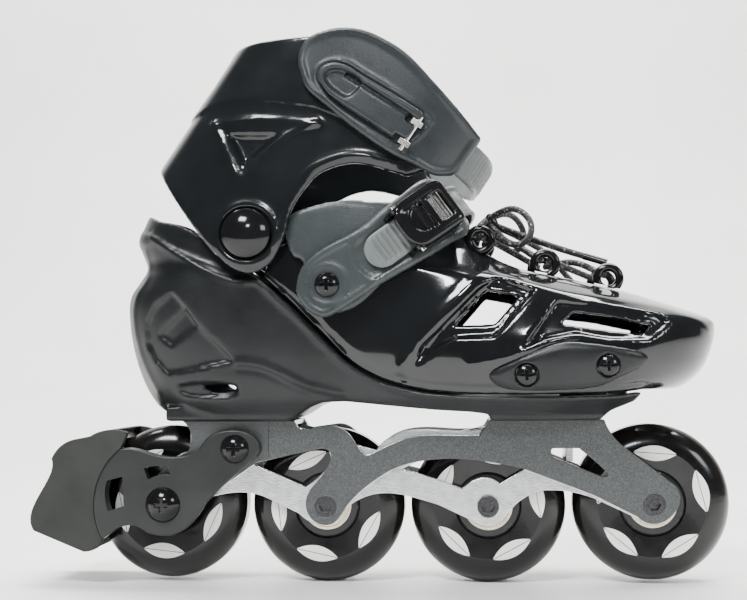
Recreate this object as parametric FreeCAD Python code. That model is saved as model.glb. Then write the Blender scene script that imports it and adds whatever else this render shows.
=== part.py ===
"""Right inline skate: hard-shell boot with a pivoting cuff, two ratchet straps, a rockered
219 mm frame, four 70 mm wheels and a heel brake.

In millimetres: +X to the toe, +Y to the inner (medial) side, +Z up. The origin is on
the ground below the middle of the skate, and the wheels' plane is y = 0.
"""

import FreeCAD, Part
import math
import os

from FreeCAD import Vector as Vec

OUT = "parts"
os.makedirs("parts", exist_ok=True)

# Wheels and axles
AXLE_PITCH = 73.0
WHEELBASE_MID = 14.8
WHEEL_R = 35.0
ROCKER = 1.2  # the end wheels sit this much higher than the middle two
AXLE_X = [WHEELBASE_MID + AXLE_PITCH * k for k in (1.5, 0.5, -0.5, -1.5)]  # toe to heel
AXLE_Z = [WHEEL_R + ROCKER, WHEEL_R, WHEEL_R, WHEEL_R + ROCKER]
HALF_WHEEL = 12.0
CONTACT_FLAT = 4.0
CORE_R = 15.0
BEARING_OD_R, BEARING_ID_R, BEARING_W = 11.0, 4.0, 7.0
AXLE_R = 3.96
HEAD_R = 4.8

# Frame
INNER_Y = 13.0  # inner faces of the side plates
WEB_Y = 16.0  # outer faces of the thin machined web
OUTER_Y = 19.0  # outer faces of the thick rails
DECK_Z = 73.6  # face that the boot stands on
DECK_T = 2.3

# Boot
WALL = 3.6
SOLE_TOP = 84.0
BASE_PROUD = 1.6  # the base shell's surface stands outside the upper's

MOUNT_BOLT_X = (95.0, -70.0)  # 165 mm apart
MOUNT_BOLT_R = 4.0

# Cuff: a leaning tube whose section is a rounded oval
CUFF_PIVOT = Vec(-52.9, 0, 156.2)
LEAN = math.radians(34.0)
CUFF_WALL = 3.2
CUFF_HALF_V = 45.2
PIVOT_BOSS_R = 12.0
BED_Y = 5.2  # how far the cuff strap's outer face stands off the cuff

# Instep strap: a band round the foot, in a plane that climbs towards the toe
ANCHOR = Vec(-17.6, 0, 133.4)
CLIMB = math.radians(36.0)
STRAP_HALF_V = 41.5
STRAP_T = 3.0
LADDER_T = 2.0

PIVOT_SEAT = CUFF_HALF_V - CUFF_WALL - 0.9  # the boss ends just inside the cuff
PIVOT_BOLT_R = 3.0
ANCHOR_SCREW_R = 2.5

# Heel brake
BRAKE_BOLT = (-62.0, 61.2)
BRAKE_BOLT_R = 3.0
ARM_Y0, ARM_Y1 = 19.0, 24.6
ARM_SEAT_DEPTH, ARM_SEAT_FRONT = 0.2, -47.5  # the rails are milled back under the brake arm

RUNNING = 0.05  # radial clearance where something turns


# ---------------------------------------------------------------- helpers

def save(name, *shapes):
    """Writes one node: its solids, fused where they touch on purpose by the caller."""
    shape = shapes[0] if len(shapes) == 1 else Part.makeCompound(list(shapes))
    for solid in shape.Solids:
        if not solid.isValid() or solid.Volume <= 0:
            print("BAD SOLID in", name)
    print(f"{name}: {len(shape.Solids)} solids, {shape.Volume / 1000:.2f} cm3")
    shape.exportStep(f"{OUT}/{name}.step")


def wire_xz(start, *runs):
    """A closed wire in the XZ plane. Each run is a point, reached by a line, or a list of
    points, which a smooth curve passes through."""
    edges, here = [], Vec(start[0], 0, start[1])
    for run in runs:
        points = run if isinstance(run, list) else [run]
        points = [Vec(x, 0, z) for x, z in points]
        if isinstance(run, list):
            curve = Part.BSplineCurve()
            curve.interpolate([here] + points)
            edges.append(curve.toShape())
        else:
            edges.append(Part.LineSegment(here, points[0]).toShape())
        here = points[-1]
    first = Vec(start[0], 0, start[1])
    if here.distanceToPoint(first) > 1e-6:
        edges.append(Part.LineSegment(here, first).toShape())
    return Part.Wire(edges)


def prism(wire, y0, y1):
    """The wire's face, carried from y0 to y1."""
    face = Part.Face(wire)
    face.translate(Vec(0, y0, 0))
    return face.extrude(Vec(0, y1 - y0, 0))


def both_sides(wire, y0, y1):
    return prism(wire, -y1, -y0), prism(wire, y0, y1)


def rod(x, z, r, y0, y1):
    return Part.makeCylinder(r, y1 - y0, Vec(x, y0, z), Vec(0, 1, 0))


def tube(x, z, r_in, r_out, y0, y1):
    return rod(x, z, r_out, y0, y1).cut(rod(x, z, r_in, y0 - 1, y1 + 1))


def box(x0, x1, y0, y1, z0, z1):
    return Part.makeBox(x1 - x0, y1 - y0, z1 - z0, Vec(x0, y0, z0))


def fuse(first, *rest):
    """One solid from several, with the seams between level faces cleaned away if they can be."""
    joined = first.multiFuse(list(rest))
    try:
        return joined.removeSplitter()
    except Part.OCCError:
        return joined


def largest(shape):
    return max(shape.Solids, key=lambda s: s.Volume)


def cut(first, *rest):
    for tool in rest:
        first = first.cut(tool)
    return first


def revolve_about_y(points, x, z):
    """Turns a closed (radius, y) polygon round the Y axis at (x, z). A run of three numbers
    (radius, y, 'arc') marks the middle of an arc to the next point."""
    edges, k = [], 0
    loop = points + [points[0]]
    at = lambda p: Vec(p[0], p[1], 0)
    while k < len(loop) - 1:
        if len(loop[k + 1]) == 3:
            edges.append(Part.Arc(at(loop[k]), at(loop[k + 1]), at(loop[k + 2])).toShape())
            k += 2
        else:
            edges.append(Part.LineSegment(at(loop[k]), at(loop[k + 1])).toShape())
            k += 1
    solid = Part.Face(Part.Wire(edges)).revolve(Vec(0, 0, 0), Vec(0, 1, 0), 360)
    solid = Part.makeSolid(Part.Shell(solid.Faces)) if not solid.Solids else solid.Solids[0]
    if solid.Volume < 0:
        solid.reverse()
    solid.translate(Vec(x, 0, z))
    return solid


def rounded(shape, radius, keep=lambda edge: True):
    """Fillets the chosen edges, or gives the shape back unchanged where that fails."""
    edges = [e for e in shape.Edges if keep(e)]
    try:
        made = shape.makeFillet(radius, edges)
        return made if made.isValid() and made.Volume > 0 else shape
    except Part.OCCError:
        print("fillet skipped")
        return shape


def outer_side_edges(y, tolerance=0.01):
    """Picks the edges that lie wholly in the plane at this y."""
    return lambda e: all(abs(v.Point.y - y) < tolerance for v in e.Vertexes) and len(
        e.Vertexes) > 0 and abs(e.BoundBox.YLength) < tolerance


def hex_socket(x, z, y0, y1, across=5.0):
    r = across / math.sqrt(3)
    points = [Vec(x + r * math.cos(math.pi * k / 3), y0, z + r * math.sin(math.pi * k / 3))
              for k in range(7)]
    return Part.Face(Part.makePolygon(points)).extrude(Vec(0, y1 - y0, 0))


def cross_socket(x, z, y0, y1, size):
    arms = [box(x - a, x + a, y0, y1, z - b, z + b)
            for a, b in ((size, size * 0.28), (size * 0.28, size))]
    return arms[0].fuse(arms[1])


def pan_screw(x, z, y_face, out, head_r, head_h, shank_r, shank_l):
    """A cross-head screw whose domed head stands on y_face and points along out (-1 or 1)."""
    dome_r = (head_r ** 2 + head_h ** 2) / (2 * head_h)
    ball = Part.makeSphere(dome_r, Vec(x, y_face + out * (head_h - dome_r), z))
    half = sorted((y_face, y_face + out * head_h))
    head = ball.common(rod(x, z, head_r, *half))
    lo, hi = sorted((y_face + out * 0.01, y_face - out * shank_l))
    screw = head.fuse(rod(x, z, shank_r, lo, hi))
    lo, hi = sorted((y_face + out * head_h * 0.35, y_face + out * (head_h + 1)))
    return screw.cut(cross_socket(x, z, lo, hi, head_r * 0.5)).removeSplitter()


# ---------------------------------------------------------------- wheels

def wheel_parts(k):
    x, z, h = AXLE_X[k], AXLE_Z[k], HALF_WHEEL
    tongue_r, tongue_h = 21.0, 5.0
    tyre = revolve_about_y([
        (CORE_R, -h + 0.6), (24.0, -h), (31.6, -9.2, "arc"), (WHEEL_R, -CONTACT_FLAT),
        (WHEEL_R, CONTACT_FLAT), (31.6, 9.2, "arc"), (24.0, h), (CORE_R, h - 0.6),
        (CORE_R, tongue_h), (tongue_r, tongue_h), (tongue_r, -tongue_h), (CORE_R, -tongue_h),
    ], x, z)
    shoulder_r, seat = 9.0, h - BEARING_W
    core = revolve_about_y([
        (BEARING_OD_R, -h), (13.6, -h), (CORE_R, -h + 1.4), (CORE_R, -tongue_h),
        (tongue_r, -tongue_h), (tongue_r, tongue_h), (CORE_R, tongue_h), (CORE_R, h - 1.4),
        (13.6, h), (BEARING_OD_R, h), (BEARING_OD_R, seat), (shoulder_r, seat),
        (shoulder_r, -seat), (BEARING_OD_R, -seat),
    ], x, z)
    save(f"tyre_{k + 1}", tyre)
    save(f"wheel_core_{k + 1}", core)

    outers, inners, balls = [], [], []
    race_in, shield_in, ball_ring, ball_r = 9.7, 6.3, 7.85, 1.8
    for side in (-1, 1):
        y0, y1 = sorted((side * seat, side * h))
        rim = tube(x, z, race_in, BEARING_OD_R, y0, y1)
        s0, s1 = sorted((side * (h - 0.25), side * (h - 0.65)))
        outers.append(rim.fuse(tube(x, z, shield_in, race_in + 0.1, s0, s1)).removeSplitter())
        inners.append(tube(x, z, BEARING_ID_R, 6.0, y0, y1))
        for n in range(7):
            a = 2 * math.pi * n / 7
            centre = Vec(x + ball_ring * math.cos(a), side * (seat + 3.3),
                         z + ball_ring * math.sin(a))
            balls.append(Part.makeSphere(ball_r, centre))
    save(f"bearing_outer_rings_{k + 1}", *outers)
    save(f"bearing_balls_{k + 1}", *balls)
    spacer = tube(x, z, BEARING_ID_R + 0.05, 5.4, -seat, seat)
    return inners, spacer


def axle_bolts():
    """Socket-head bolts: head on the outer side, plain shaft through the bearings."""
    bolts = []
    for x, z in zip(AXLE_X[:3], AXLE_Z[:3]):
        body = rod(x, z, HEAD_R, -OUTER_Y, -OUTER_Y + 2.3)
        body = fuse(body, rod(x, z, AXLE_R, -OUTER_Y + 2, OUTER_Y - 0.6))
        bolts.append(body.cut(hex_socket(x, z, -OUTER_Y - 1, -OUTER_Y + 2)))
    return bolts


def frame_bolts():
    """Hex-head bolts from below the deck, with the threaded plates they pull on in the boot."""
    bolts, plates = [], []
    for x in MOUNT_BOLT_X:
        foot = DECK_Z - DECK_T
        face = Part.Face(Part.makePolygon([Vec(x + 6.4 * math.cos(math.pi * k / 3),
                                               6.4 * math.sin(math.pi * k / 3), foot - 3.6)
                                           for k in range(7)]))
        bolts.append(fuse(face.extrude(Vec(0, 0, 3.6)),
                          Part.makeCylinder(MOUNT_BOLT_R, 15, Vec(x, 0, foot - 0.01))))
        plate = rounded(box(x - 11, x + 11, -9, 9, SOLE_TOP, SOLE_TOP + 2.5), 3,
                        lambda e: e.BoundBox.ZLength > 2)
        plates.append(plate.cut(Part.makeCylinder(MOUNT_BOLT_R, 20, Vec(x, 0, SOLE_TOP - 5))))
    return bolts, plates


# ---------------------------------------------------------------- frame

def frame():
    rail = wire_xz(
        (-87.0, 73.6), [(-83.5, 69.0), (-84.5, 60.0)], [(-96.0, 52.0), (-104.5, 41.0)],
        [(-102.5, 30.0), (-94.7, 26.4), (-86.5, 30.0)], (-66.0, 46.0), (-53.2, 54.8),
        (-23.8, 61.0), [(-19.6, 59.6), (-20.2, 54.0)], [(-24.5, 47.0), (-30.2, 39.0),
        (-28.8, 30.5), (-21.7, 26.8), (-15.5, 30.2)],
        [(-10.9, 36.8), (0.6, 46.8), (7.8, 51.2), (15.0, 54.0), (29.2, 56.2), (48.6, 55.5),
         (67.5, 51.8)],
        (97.2, 40.7), (117.1, 30.8), [(124.3, 27.8), (131.0, 30.6), (135.0, 36.0)],
        [(135.4, 41.0), (133.6, 44.6)], (111.0, 62.0), [(106.4, 67.0), (103.1, 73.6)],
        (52.0, 73.6), (47.7, 66.6), [(29.2, 66.7), (15.0, 65.3), (7.8, 62.6), (-1.0, 58.4)],
        [(-4.6, 58.4), (-6.5, 60.5), (-9.5, 65.6), (-13.7, 69.6), (-20.9, 70.9)],
        (-33.5, 69.2), (-36.0, 73.6))
    window = wire_xz((79.6, 59.0), [(79.8, 60.6), (81.4, 61.0)], (91.8, 61.0),
                     [(98.4, 55.6), (103.9, 50.4)], [(104.0, 48.6), (102.2, 48.2)], (80.6, 57.0))
    web = wire_xz(
        (-84.0, 60.0), [(-97.0, 52.0), (-103.0, 38.0), (-94.7, 28.0)], (-78.2, 37.6),
        [(-64.6, 40.9), (-55.5, 40.7), (-47.4, 38.0)], (-34.0, 31.6),
        [(-28.0, 27.6), (-21.7, 26.8), (-14.5, 31.6)],
        [(-3.2, 39.4), (4.0, 40.8), (14.8, 39.7), (29.1, 35.7)], (42.0, 29.6),
        [(46.5, 27.4), (51.3, 26.6), (57.0, 28.4), (61.5, 33.6), (68.5, 39.4), (75.0, 42.0)],
        [(81.0, 42.2), (100.0, 37.9)], (117.5, 29.6), [(124.3, 28.4), (131.0, 32.0)],
        (120.0, 50.0), (103.1, 71.0), (52.0, 71.0),
        [(40.0, 68.6), (24.0, 69.4), (8.0, 66.4), (1.0, 60.0)],
        (-36.0, 71.0), (-84.0, 71.0))
    # Lens-shaped gap over the second axle, and the three-cornered one ahead of the brake.
    lens = wire_xz((12.8, 51.6), [(29.1, 46.9), (40.0, 43.0)],
                   [(45.0, 46.5), (51.0, 47.8), (56.6, 45.0)], (67.6, 51.6),
                   [(58.0, 58.0), (30.0, 58.5), (12.8, 51.6)])
    corner = wire_xz((-55.1, 54.0), (-31.0, 43.6), [(-24.0, 49.0), (-19.6, 57.0), (-21.0, 60.9)],
                     (-24.0, 61.2))
    sides = []
    for lo, hi, thick_lo, thick_hi in ((-WEB_Y, -INNER_Y, -OUTER_Y, -WEB_Y + 0.5),
                                       (INNER_Y, WEB_Y, WEB_Y - 0.5, OUTER_Y)):
        plate = prism(web, lo, hi)
        plate = cut(plate, prism(lens, lo - 1, hi + 1), prism(corner, lo - 1, hi + 1))
        plate = plate.fuse(prism(rail, thick_lo, thick_hi))
        sides.append(plate.cut(prism(window, -30, 30)))
    decks = [box(52.0, 103.1, -WEB_Y, WEB_Y, DECK_Z - DECK_T, DECK_Z),
             box(-83.0, -36.0, -WEB_Y, WEB_Y, DECK_Z - DECK_T, DECK_Z)]
    ties = [box(x - 1.6, x + 1.6, -INNER_Y - 0.5, INNER_Y + 0.5, 55.0, 63.0)
            for x in (87.8, -58.2)]
    bosses = []
    for x, z in zip(AXLE_X, AXLE_Z):
        bosses += [rod(x, z, 7.0, -INNER_Y - 0.5, -HALF_WHEEL), rod(x, z, 7.0, HALF_WHEEL,
                                                                    INNER_Y + 0.5)]
    body = fuse(sides[0], sides[1], *decks, *ties, *bosses)
    for x, z in zip(AXLE_X, AXLE_Z):
        body = body.cut(rod(x, z, AXLE_R + 0.04, -30, 30))
        body = body.cut(rod(x, z, HEAD_R + RUNNING, -30, -OUTER_Y + 2.4))
    for x in MOUNT_BOLT_X:
        body = body.cut(Part.makeCylinder(MOUNT_BOLT_R + 0.2, 10, Vec(x, 0, DECK_Z - 6)))
    for side in (-1, 1):
        seat = sorted((side * (OUTER_Y - ARM_SEAT_DEPTH), side * (OUTER_Y + 1)))
        body = body.cut(box(-130, ARM_SEAT_FRONT, *seat, 10, DECK_Z))
    return body.cut(rod(*BRAKE_BOLT, BRAKE_BOLT_R + RUNNING, -30, 30))


# ---------------------------------------------------------------- boot

def spline_at(table, z):
    """Smooth value at z from a short hand-set table of (z, value), by cubic Hermite."""
    zs = [t[0] for t in table]
    vs = [t[1] for t in table]
    if z <= zs[0]:
        return vs[0]
    if z >= zs[-1]:
        return vs[-1]
    k = max(i for i in range(len(zs) - 1) if zs[i] <= z)
    slope = lambda i: (vs[min(i + 1, len(vs) - 1)] - vs[max(i - 1, 0)]) / (
        zs[min(i + 1, len(zs) - 1)] - zs[max(i - 1, 0)])
    step = zs[k + 1] - zs[k]
    t = (z - zs[k]) / step
    a, b = slope(k) * step, slope(k + 1) * step
    return ((2 * t ** 3 - 3 * t ** 2 + 1) * vs[k] + (t ** 3 - 2 * t ** 2 + t) * a
            + (3 * t ** 2 - 2 * t ** 3) * vs[k + 1] + (t ** 3 - t ** 2) * b)


# Each table is (height, value): where the boot starts and ends, and its half widths.
HEEL_X = [(73, -94), (79, -101), (87, -106.7), (97, -111), (108, -114), (122, -115.8),
          (131, -115), (138, -110.5), (144, -107.2), (151, -109.6), (157, -111.6), (170, -107)]
TOE_X = [(76, 118), (82, 130), (88, 142.5), (95, 150), (105, 154.6), (114, 156.4), (118.5, 155),
         (122.5, 147), (128, 131), (133, 115), (137.5, 97), (142, 77), (147, 64), (153, 55.5),
         (165, 49), (182, 42)]
HEEL_W = [(76, 25), (84, 31), (100, 35), (115, 37), (135, 38), (150, 37), (175, 36)]
WAIST_W = [(76, 26), (84, 32), (100, 36), (115, 37.5), (135, 39), (150, 38.5), (175, 36)]
BALL_W = [(76, 34), (84, 43), (97, 48), (108, 48.5), (118, 46), (128, 42), (138, 38), (150, 34),
          (175, 30)]
HEEL_CAP, TOE_CAP = 42.0, 62.0  # lengths of the rounded ends, seen from above
STATIONS = 15


def smooth(a, b, x):
    t = min(1.0, max(0.0, (x - a) / (b - a)))
    return t * t * (3 - 2 * t)


def boot_outline(z, inset):
    """The boot's outline at a height, as points round the foot, set in from its surface."""
    x0, x1 = spline_at(HEEL_X, z) + inset, spline_at(TOE_X, z) - inset
    heel, waist, ball = (spline_at(t, z) for t in (HEEL_W, WAIST_W, BALL_W))
    points = []
    for k in range(2 * STATIONS):
        a = math.pi * k / STATIONS
        x = (x0 + x1) / 2 - math.cos(a) * (x1 - x0) / 2
        width = heel + (waist - heel) * smooth(-80, -15, x) + (ball - waist) * smooth(-10, 75, x)
        cap = 1.0
        for end in ((x - x0) / min(HEEL_CAP, (x1 - x0) / 2), (x1 - x) / min(TOE_CAP, (x1 - x0) / 2)):
            cap -= max(0.0, 1 - end) ** 2
        y = (width - inset) * math.sqrt(max(0.0, cap))
        points.append(Vec(x, -y if k < STATIONS else y, z))
    return points


def boot_solid(levels, inset):
    wires = []
    for z in levels:
        curve = Part.BSplineCurve()
        curve.interpolate(boot_outline(z, inset), PeriodicFlag=True)
        wires.append(Part.Wire(curve.toShape()))
    solid = Part.makeLoft(wires, True, False)
    if solid.Volume < 0:
        solid.reverse()
    return solid


BOOT_LEVELS = (76, 80, 86, 94, 104, 114, 120, 125, 130, 135, 140, 145, 151, 158, 168, 182)
INNER_LEVELS = (SOLE_TOP, 90, 98, 106, 113, 118, 123, 128, 133, 138, 144, 151, 160, 172, 200)

SLIDER_SCREWS = ((68.1, 93.7), (102.5, 97.5))
SLIDER_SCREW_R = 1.6
SLIDER_PROUD = 1.2

# Side view of the line where the base shell ends and the upper shows above it.
SEAM = [(-48.5, 136.8), (-33.6, 124.0), (-20.6, 110.9), (-9.0, 99.6), (5.3, 91.6), (20.9, 87.2),
        (36.1, 85.4), (59.4, 84.6), (101.8, 85.0), (118.0, 86.4)]


def base_region():
    return wire_xz((-125, 70), (-125, 172), (-106.7, 169.3), [(-96.0, 164.6), (-77.0, 156.0),
                   (-62.0, 150.5), (-53.0, 148.5), (-47.5, 143.0), (-48.5, 136.8)],
                   SEAM[1:], (118, 70))


def upper_region():
    return wire_xz((118.0, 87.0), (175, 87.0), (175, 120), (118.5, 140.0), (60, 157),
                   [(52.0, 158.4), (40.0, 159.0), (20.0, 157.6), (0.0, 156.0), (-20.0, 155.4),
                    (-34.0, 154.0)], (-42.0, 151.0), (-47.6, 137.4),
                   [(x + 0.4, z + 0.4) for x, z in SEAM[1:]])


def lace_throat():
    """The open slot along the top of the foot."""
    slot = [Part.makeCylinder(13, 90, Vec(100, 0, 112)), box(20, 100, -13, 13, 112, 202)]
    return slot[0].fuse(slot[1])


def base_shell():
    outer = boot_solid(BOOT_LEVELS, 0)
    inner = boot_solid(INNER_LEVELS, WALL + BASE_PROUD)
    shell = outer.common(prism(base_region(), -70, 70)).cut(inner)
    block_rear = rounded(box(-94, -38, -23, 23, DECK_Z, 79), 3, lambda e: e.BoundBox.ZLength > 5)
    block_front = prism(wire_xz((53, DECK_Z), (101, DECK_Z), (106, 78), (116, 81), (116, 84),
                                (48, 84), (48, 78)), -24, 24)
    arch = prism(wire_xz((-34, 70), [(-30, 77), (-21.5, 81.6), (-8, 82.2), (12, 80.2),
                                     (30, 78.2), (50, 77.4)], (51, 70)), -70, 70)
    shell = shell.cut(arch).fuse(block_rear).fuse(block_front.cut(arch))
    for side in (-1, 1):
        span = sorted((side * 33.5, side * PIVOT_SEAT))
        shell = shell.fuse(rod(CUFF_PIVOT.x, CUFF_PIVOT.z, PIVOT_BOSS_R, *span))
    # Air slots low on the heel, and a slanted pocket above them.
    slot = wire_xz((-81, 82.6), [(-72, 80.8), (-60, 82.0)], [(-56.5, 85.0), (-60, 88.0)],
                   [(-70, 88.8), (-82, 88.4)], [(-85.5, 86.0), (-81, 82.6)])
    shell = shell.cut(prism(slot, -70, 70))
    for x in MOUNT_BOLT_X:
        shell = shell.cut(Part.makeCylinder(MOUNT_BOLT_R, 30, Vec(x, 0, DECK_Z - 5)))
    return shell.cut(rod(CUFF_PIVOT.x, CUFF_PIVOT.z, PIVOT_BOLT_R, -60, 60))


def upper_shell():
    outer = boot_solid(BOOT_LEVELS, BASE_PROUD)
    inner = boot_solid(INNER_LEVELS, WALL + BASE_PROUD)
    shell = outer.common(prism(upper_region(), -70, 70))
    shell = shell.cut(inner).cut(lace_throat())
    vents = [
        wire_xz((82.0, 115.4), (88.6, 121.4), (123.0, 114.6), (118.0, 110.6), (104.0, 112.2)),
        wire_xz((50.6, 131.6), (66.4, 127.9), (55.4, 114.6), (36.5, 114.4)),
    ]
    for v in vents:
        shell = shell.cut(prism(v, -70, 70))
    shell = shell.cut(rod(ANCHOR.x, ANCHOR.z, ANCHOR_SCREW_R, -60, 60))
    for x, z in SLIDER_SCREWS:
        shell = shell.cut(rod(x, z, SLIDER_SCREW_R, -60, 60))
    return largest(shell)


def sliders():
    """The wear plates on the sides of the forefoot, and the two screws that hold each."""
    outline = wire_xz((53.2, 95.3), (82.4, 107.3), [(86.0, 108.0), (90.0, 107.6)],
                      (113.0, 104.4), [(118.6, 102.4), (119.9, 99.6), (117.0, 96.6)],
                      (97.6, 88.2), [(82.0, 86.9), (65.3, 86.9)],
                      [(57.0, 88.4), (52.4, 92.0), (53.2, 95.3)])
    skin = boot_solid(BOOT_LEVELS, -SLIDER_PROUD).cut(boot_solid(BOOT_LEVELS, BASE_PROUD))
    plates, screws = [], []
    for side in (-1, 1):
        plate = skin.common(prism(outline, *sorted((side * 20, side * 70))))
        for x, z in SLIDER_SCREWS:
            face = plate_face_y(plate, x, z, side)
            screw = pan_screw(x, z, face, side, 4.4, 1.6, SLIDER_SCREW_R, 9.0)
            plate = plate.cut(rod(x, z, SLIDER_SCREW_R, *sorted((side * 20, side * 70))))
            plate = plate.cut(rod(x, z, 4.6, *sorted((face, side * 70))))
            screws.append(screw)
        plates.append(plate)
    return plates, screws


def plate_face_y(plate, x, z, side):
    """Where a screw's head seats: a little below the plate's outer face there."""
    span = plate.common(rod(x, z, 1.0, *sorted((side * 20, side * 70)))).BoundBox
    return side * (max(abs(span.YMin), abs(span.YMax)) - 1.0)


# ---------------------------------------------------------------- bands round the leg and foot

class Band:
    """A wall that follows a rounded oval, in a frame of its own: u ahead, v along +Y, w up."""

    def __init__(self, origin, ahead, up, centre_u, half_u, half_v, power=3.0):
        self.origin, self.ahead, self.up = origin, ahead, up
        self.centre_u, self.half_u, self.half_v, self.power = centre_u, half_u, half_v, power

    def point(self, u, v, w):
        return self.origin + self.ahead * u + Vec(0, v, 0) + self.up * w

    def side_v(self, u, offset):
        """How far out the oval is at u, on either side."""
        t = abs(u - self.centre_u) / (self.half_u + offset)
        return (self.half_v + offset) * (1 - t ** self.power) ** (1 / self.power)

    def oval(self, offset, w, count=48):
        points = []
        for k in range(count):
            c, s = math.cos(2 * math.pi * k / count), math.sin(2 * math.pi * k / count)
            shrink = (abs(c) ** self.power + abs(s) ** self.power) ** (-1 / self.power)
            points.append(self.point(self.centre_u + (self.half_u + offset) * shrink * c,
                                     (self.half_v + offset) * shrink * s, w))
        curve = Part.BSplineCurve()
        curve.interpolate(points, PeriodicFlag=True)
        return Part.Wire(curve.toShape())

    def wall(self, inside, outside, w0, w1):
        rise = self.up * (w1 - w0)
        outer = Part.Face(self.oval(outside, w0)).extrude(rise)
        inner = Part.Face(self.oval(inside, w0)).extrude(rise * 1.02)
        inner.translate(self.up * -0.01 * (w1 - w0))
        return outer.cut(inner)

    def block(self, u0, u1, v0, v1, w0, w1):
        """A box whose edges follow the band's own frame."""
        solid = Part.makeBox(u1 - u0, v1 - v0, w1 - w0)
        turn = FreeCAD.Rotation(self.ahead, Vec(0, 1, 0), self.up, "ZXY")
        solid.Placement = FreeCAD.Placement(self.point(u0, v0, w0), turn)
        return solid

    def pin(self, u, v, w0, w1, r):
        return Part.makeCylinder(r, w1 - w0, self.point(u, v, w0), self.up)


LEG = Band(CUFF_PIVOT, Vec(math.cos(LEAN), 0, -math.sin(LEAN)),
           Vec(math.sin(LEAN), 0, math.cos(LEAN)), 6.0, 63.0, CUFF_HALF_V)
FOOT = Band(ANCHOR, Vec(math.cos(CLIMB), 0, math.sin(CLIMB)),
            Vec(-math.sin(CLIMB), 0, math.cos(CLIMB)), 6.5, 61.0, STRAP_HALF_V)
OUTER_HALF = box(-200, 200, -90, 0, 60, 260)
INNER_HALF = box(-200, 200, 0, 90, 60, 260)


# ---------------------------------------------------------------- cuff and its strap

CUFF_HINGE_U, CUFF_HINGE_W = 37.0, 75.0  # the cuff lever's pin


def cuff():
    outline = wire_xz(
        (-63.0, 243.0), [(-65.5, 236.0), (-72.3, 225.2)], (-87.0, 208.4), (-96.0, 198.5),
        [(-99.5, 193.0), (-95.5, 185.5)], (-77.3, 160.0),
        [(-67.4, 148.5), (-60.0, 141.4), (-51.9, 138.9), (-44.0, 141.7), (-38.6, 148.5),
         (-35.6, 156.7)],
        [(-32.6, 167.0), (-24.5, 178.6), (-17.7, 183.5), (-8.0, 186.1), (0.5, 185.5),
         (9.7, 182.9)],
        (17.6, 180.5), (28.0, 184.0), (9.0, 236.0), [(-2.0, 242.0), (-20.0, 243.6)])
    body = LEG.wall(-CUFF_WALL, 0, -40, 120).common(prism(outline, -80, 80))
    body = body.cut(rod(CUFF_PIVOT.x, CUFF_PIVOT.z, BUSH_R, -80, 80))
    return cut(body, *cuff_rivets(), *cuff_ladder_screws())


def y_rod(band, u, w, r, y0, y1):
    at = band.point(u, 0, w)
    return rod(at.x, at.z, r, y0, y1)


BUSH_R = 5.5
RIVET_R = 2.0
CUFF_RIVETS = ((-14.0, 91.5), (2.0, 91.5))
CUFF_LADDER_SCREWS = ((6.0, 80.0), (22.0, 80.0))


def cuff_pivots():
    """Each side's bush (turns with the cuff), bolt with its nut plate, and domed cap."""
    bushes, bolts, caps = [], [], []
    x, z = CUFF_PIVOT.x, CUFF_PIVOT.z
    face = CUFF_HALF_V
    for side in (-1, 1):
        span = lambda a, b: sorted((side * a, side * b))
        bushes.append(tube(x, z, PIVOT_BOLT_R + RUNNING, BUSH_R, *span(PIVOT_SEAT + 0.3, face)))
        bolt = fuse(rod(x, z, PIVOT_BOLT_R, *span(31.0, face + 0.3)),
                    rod(x, z, 7.0, *span(face + 0.3, face + 1.8)))
        nut = rod(x, z, 7.0, *span(29.5, 31.5))
        bolts.append(fuse(bolt, nut))
        dome_r = (10.7 ** 2 + 4.4 ** 2) / (2 * 4.4)
        ball = Part.makeSphere(dome_r, Vec(x, side * (face + 2.0 + 4.4 - dome_r), z))
        cap = ball.common(rod(x, z, 10.7, *span(face + 2.0, face + 6.4)))
        cap = fuse(cap, rod(x, z, 10.7, *span(face + 0.35, face + 2.01)))
        caps.append(cap.cut(rod(x, z, 7.0, *span(face, face + 1.8))))
    return bushes, bolts, caps


def cuff_strap():
    """The broad outer piece, which carries the lever and narrows round the shin."""
    outline = wire_xz(
        (-27.6, 223.0), [(-29.5, 233.0), (-25.0, 241.5), (-13.6, 245.2), (-2.0, 244.4),
        (8.6, 239.8), (18.7, 232.8), (29.3, 221.3), (40.1, 209.1), (48.6, 199.0)],
        (50.0, 197.0), (39.0, 182.0), (28.0, 180.9), [(20.0, 185.0), (9.7, 190.3)],
        (-4.0, 199.9), [(-17.7, 211.4), (-25.0, 218.0), (-27.6, 223.0)])
    side = prism(outline, -80, 0)
    body = LEG.wall(2.8, BED_Y, 40, 120).common(side)
    seat = LEG.wall(0.2, 2.9, 40, 120).common(side).common(LEG.block(-60, 14, -80, 0, 40, 120))
    body = body.fuse(seat)
    return largest(cut(body, *cuff_rivets()))


def cuff_rivets():
    """Blind rivets from inside the cuff into the strap, so that only their inner heads show."""
    made = []
    for u, w in CUFF_RIVETS:
        at = LEG.point(u, 0, w)
        out = LEG.side_v(u, BED_Y)
        back = LEG.side_v(u, -CUFF_WALL)
        made.append(fuse(rod(at.x, at.z, RIVET_R, -out + 1.6, -back + 0.8),
                         rod(at.x, at.z, 3.6, -back + 0.2, -back + 1.0)))
    return made


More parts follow.
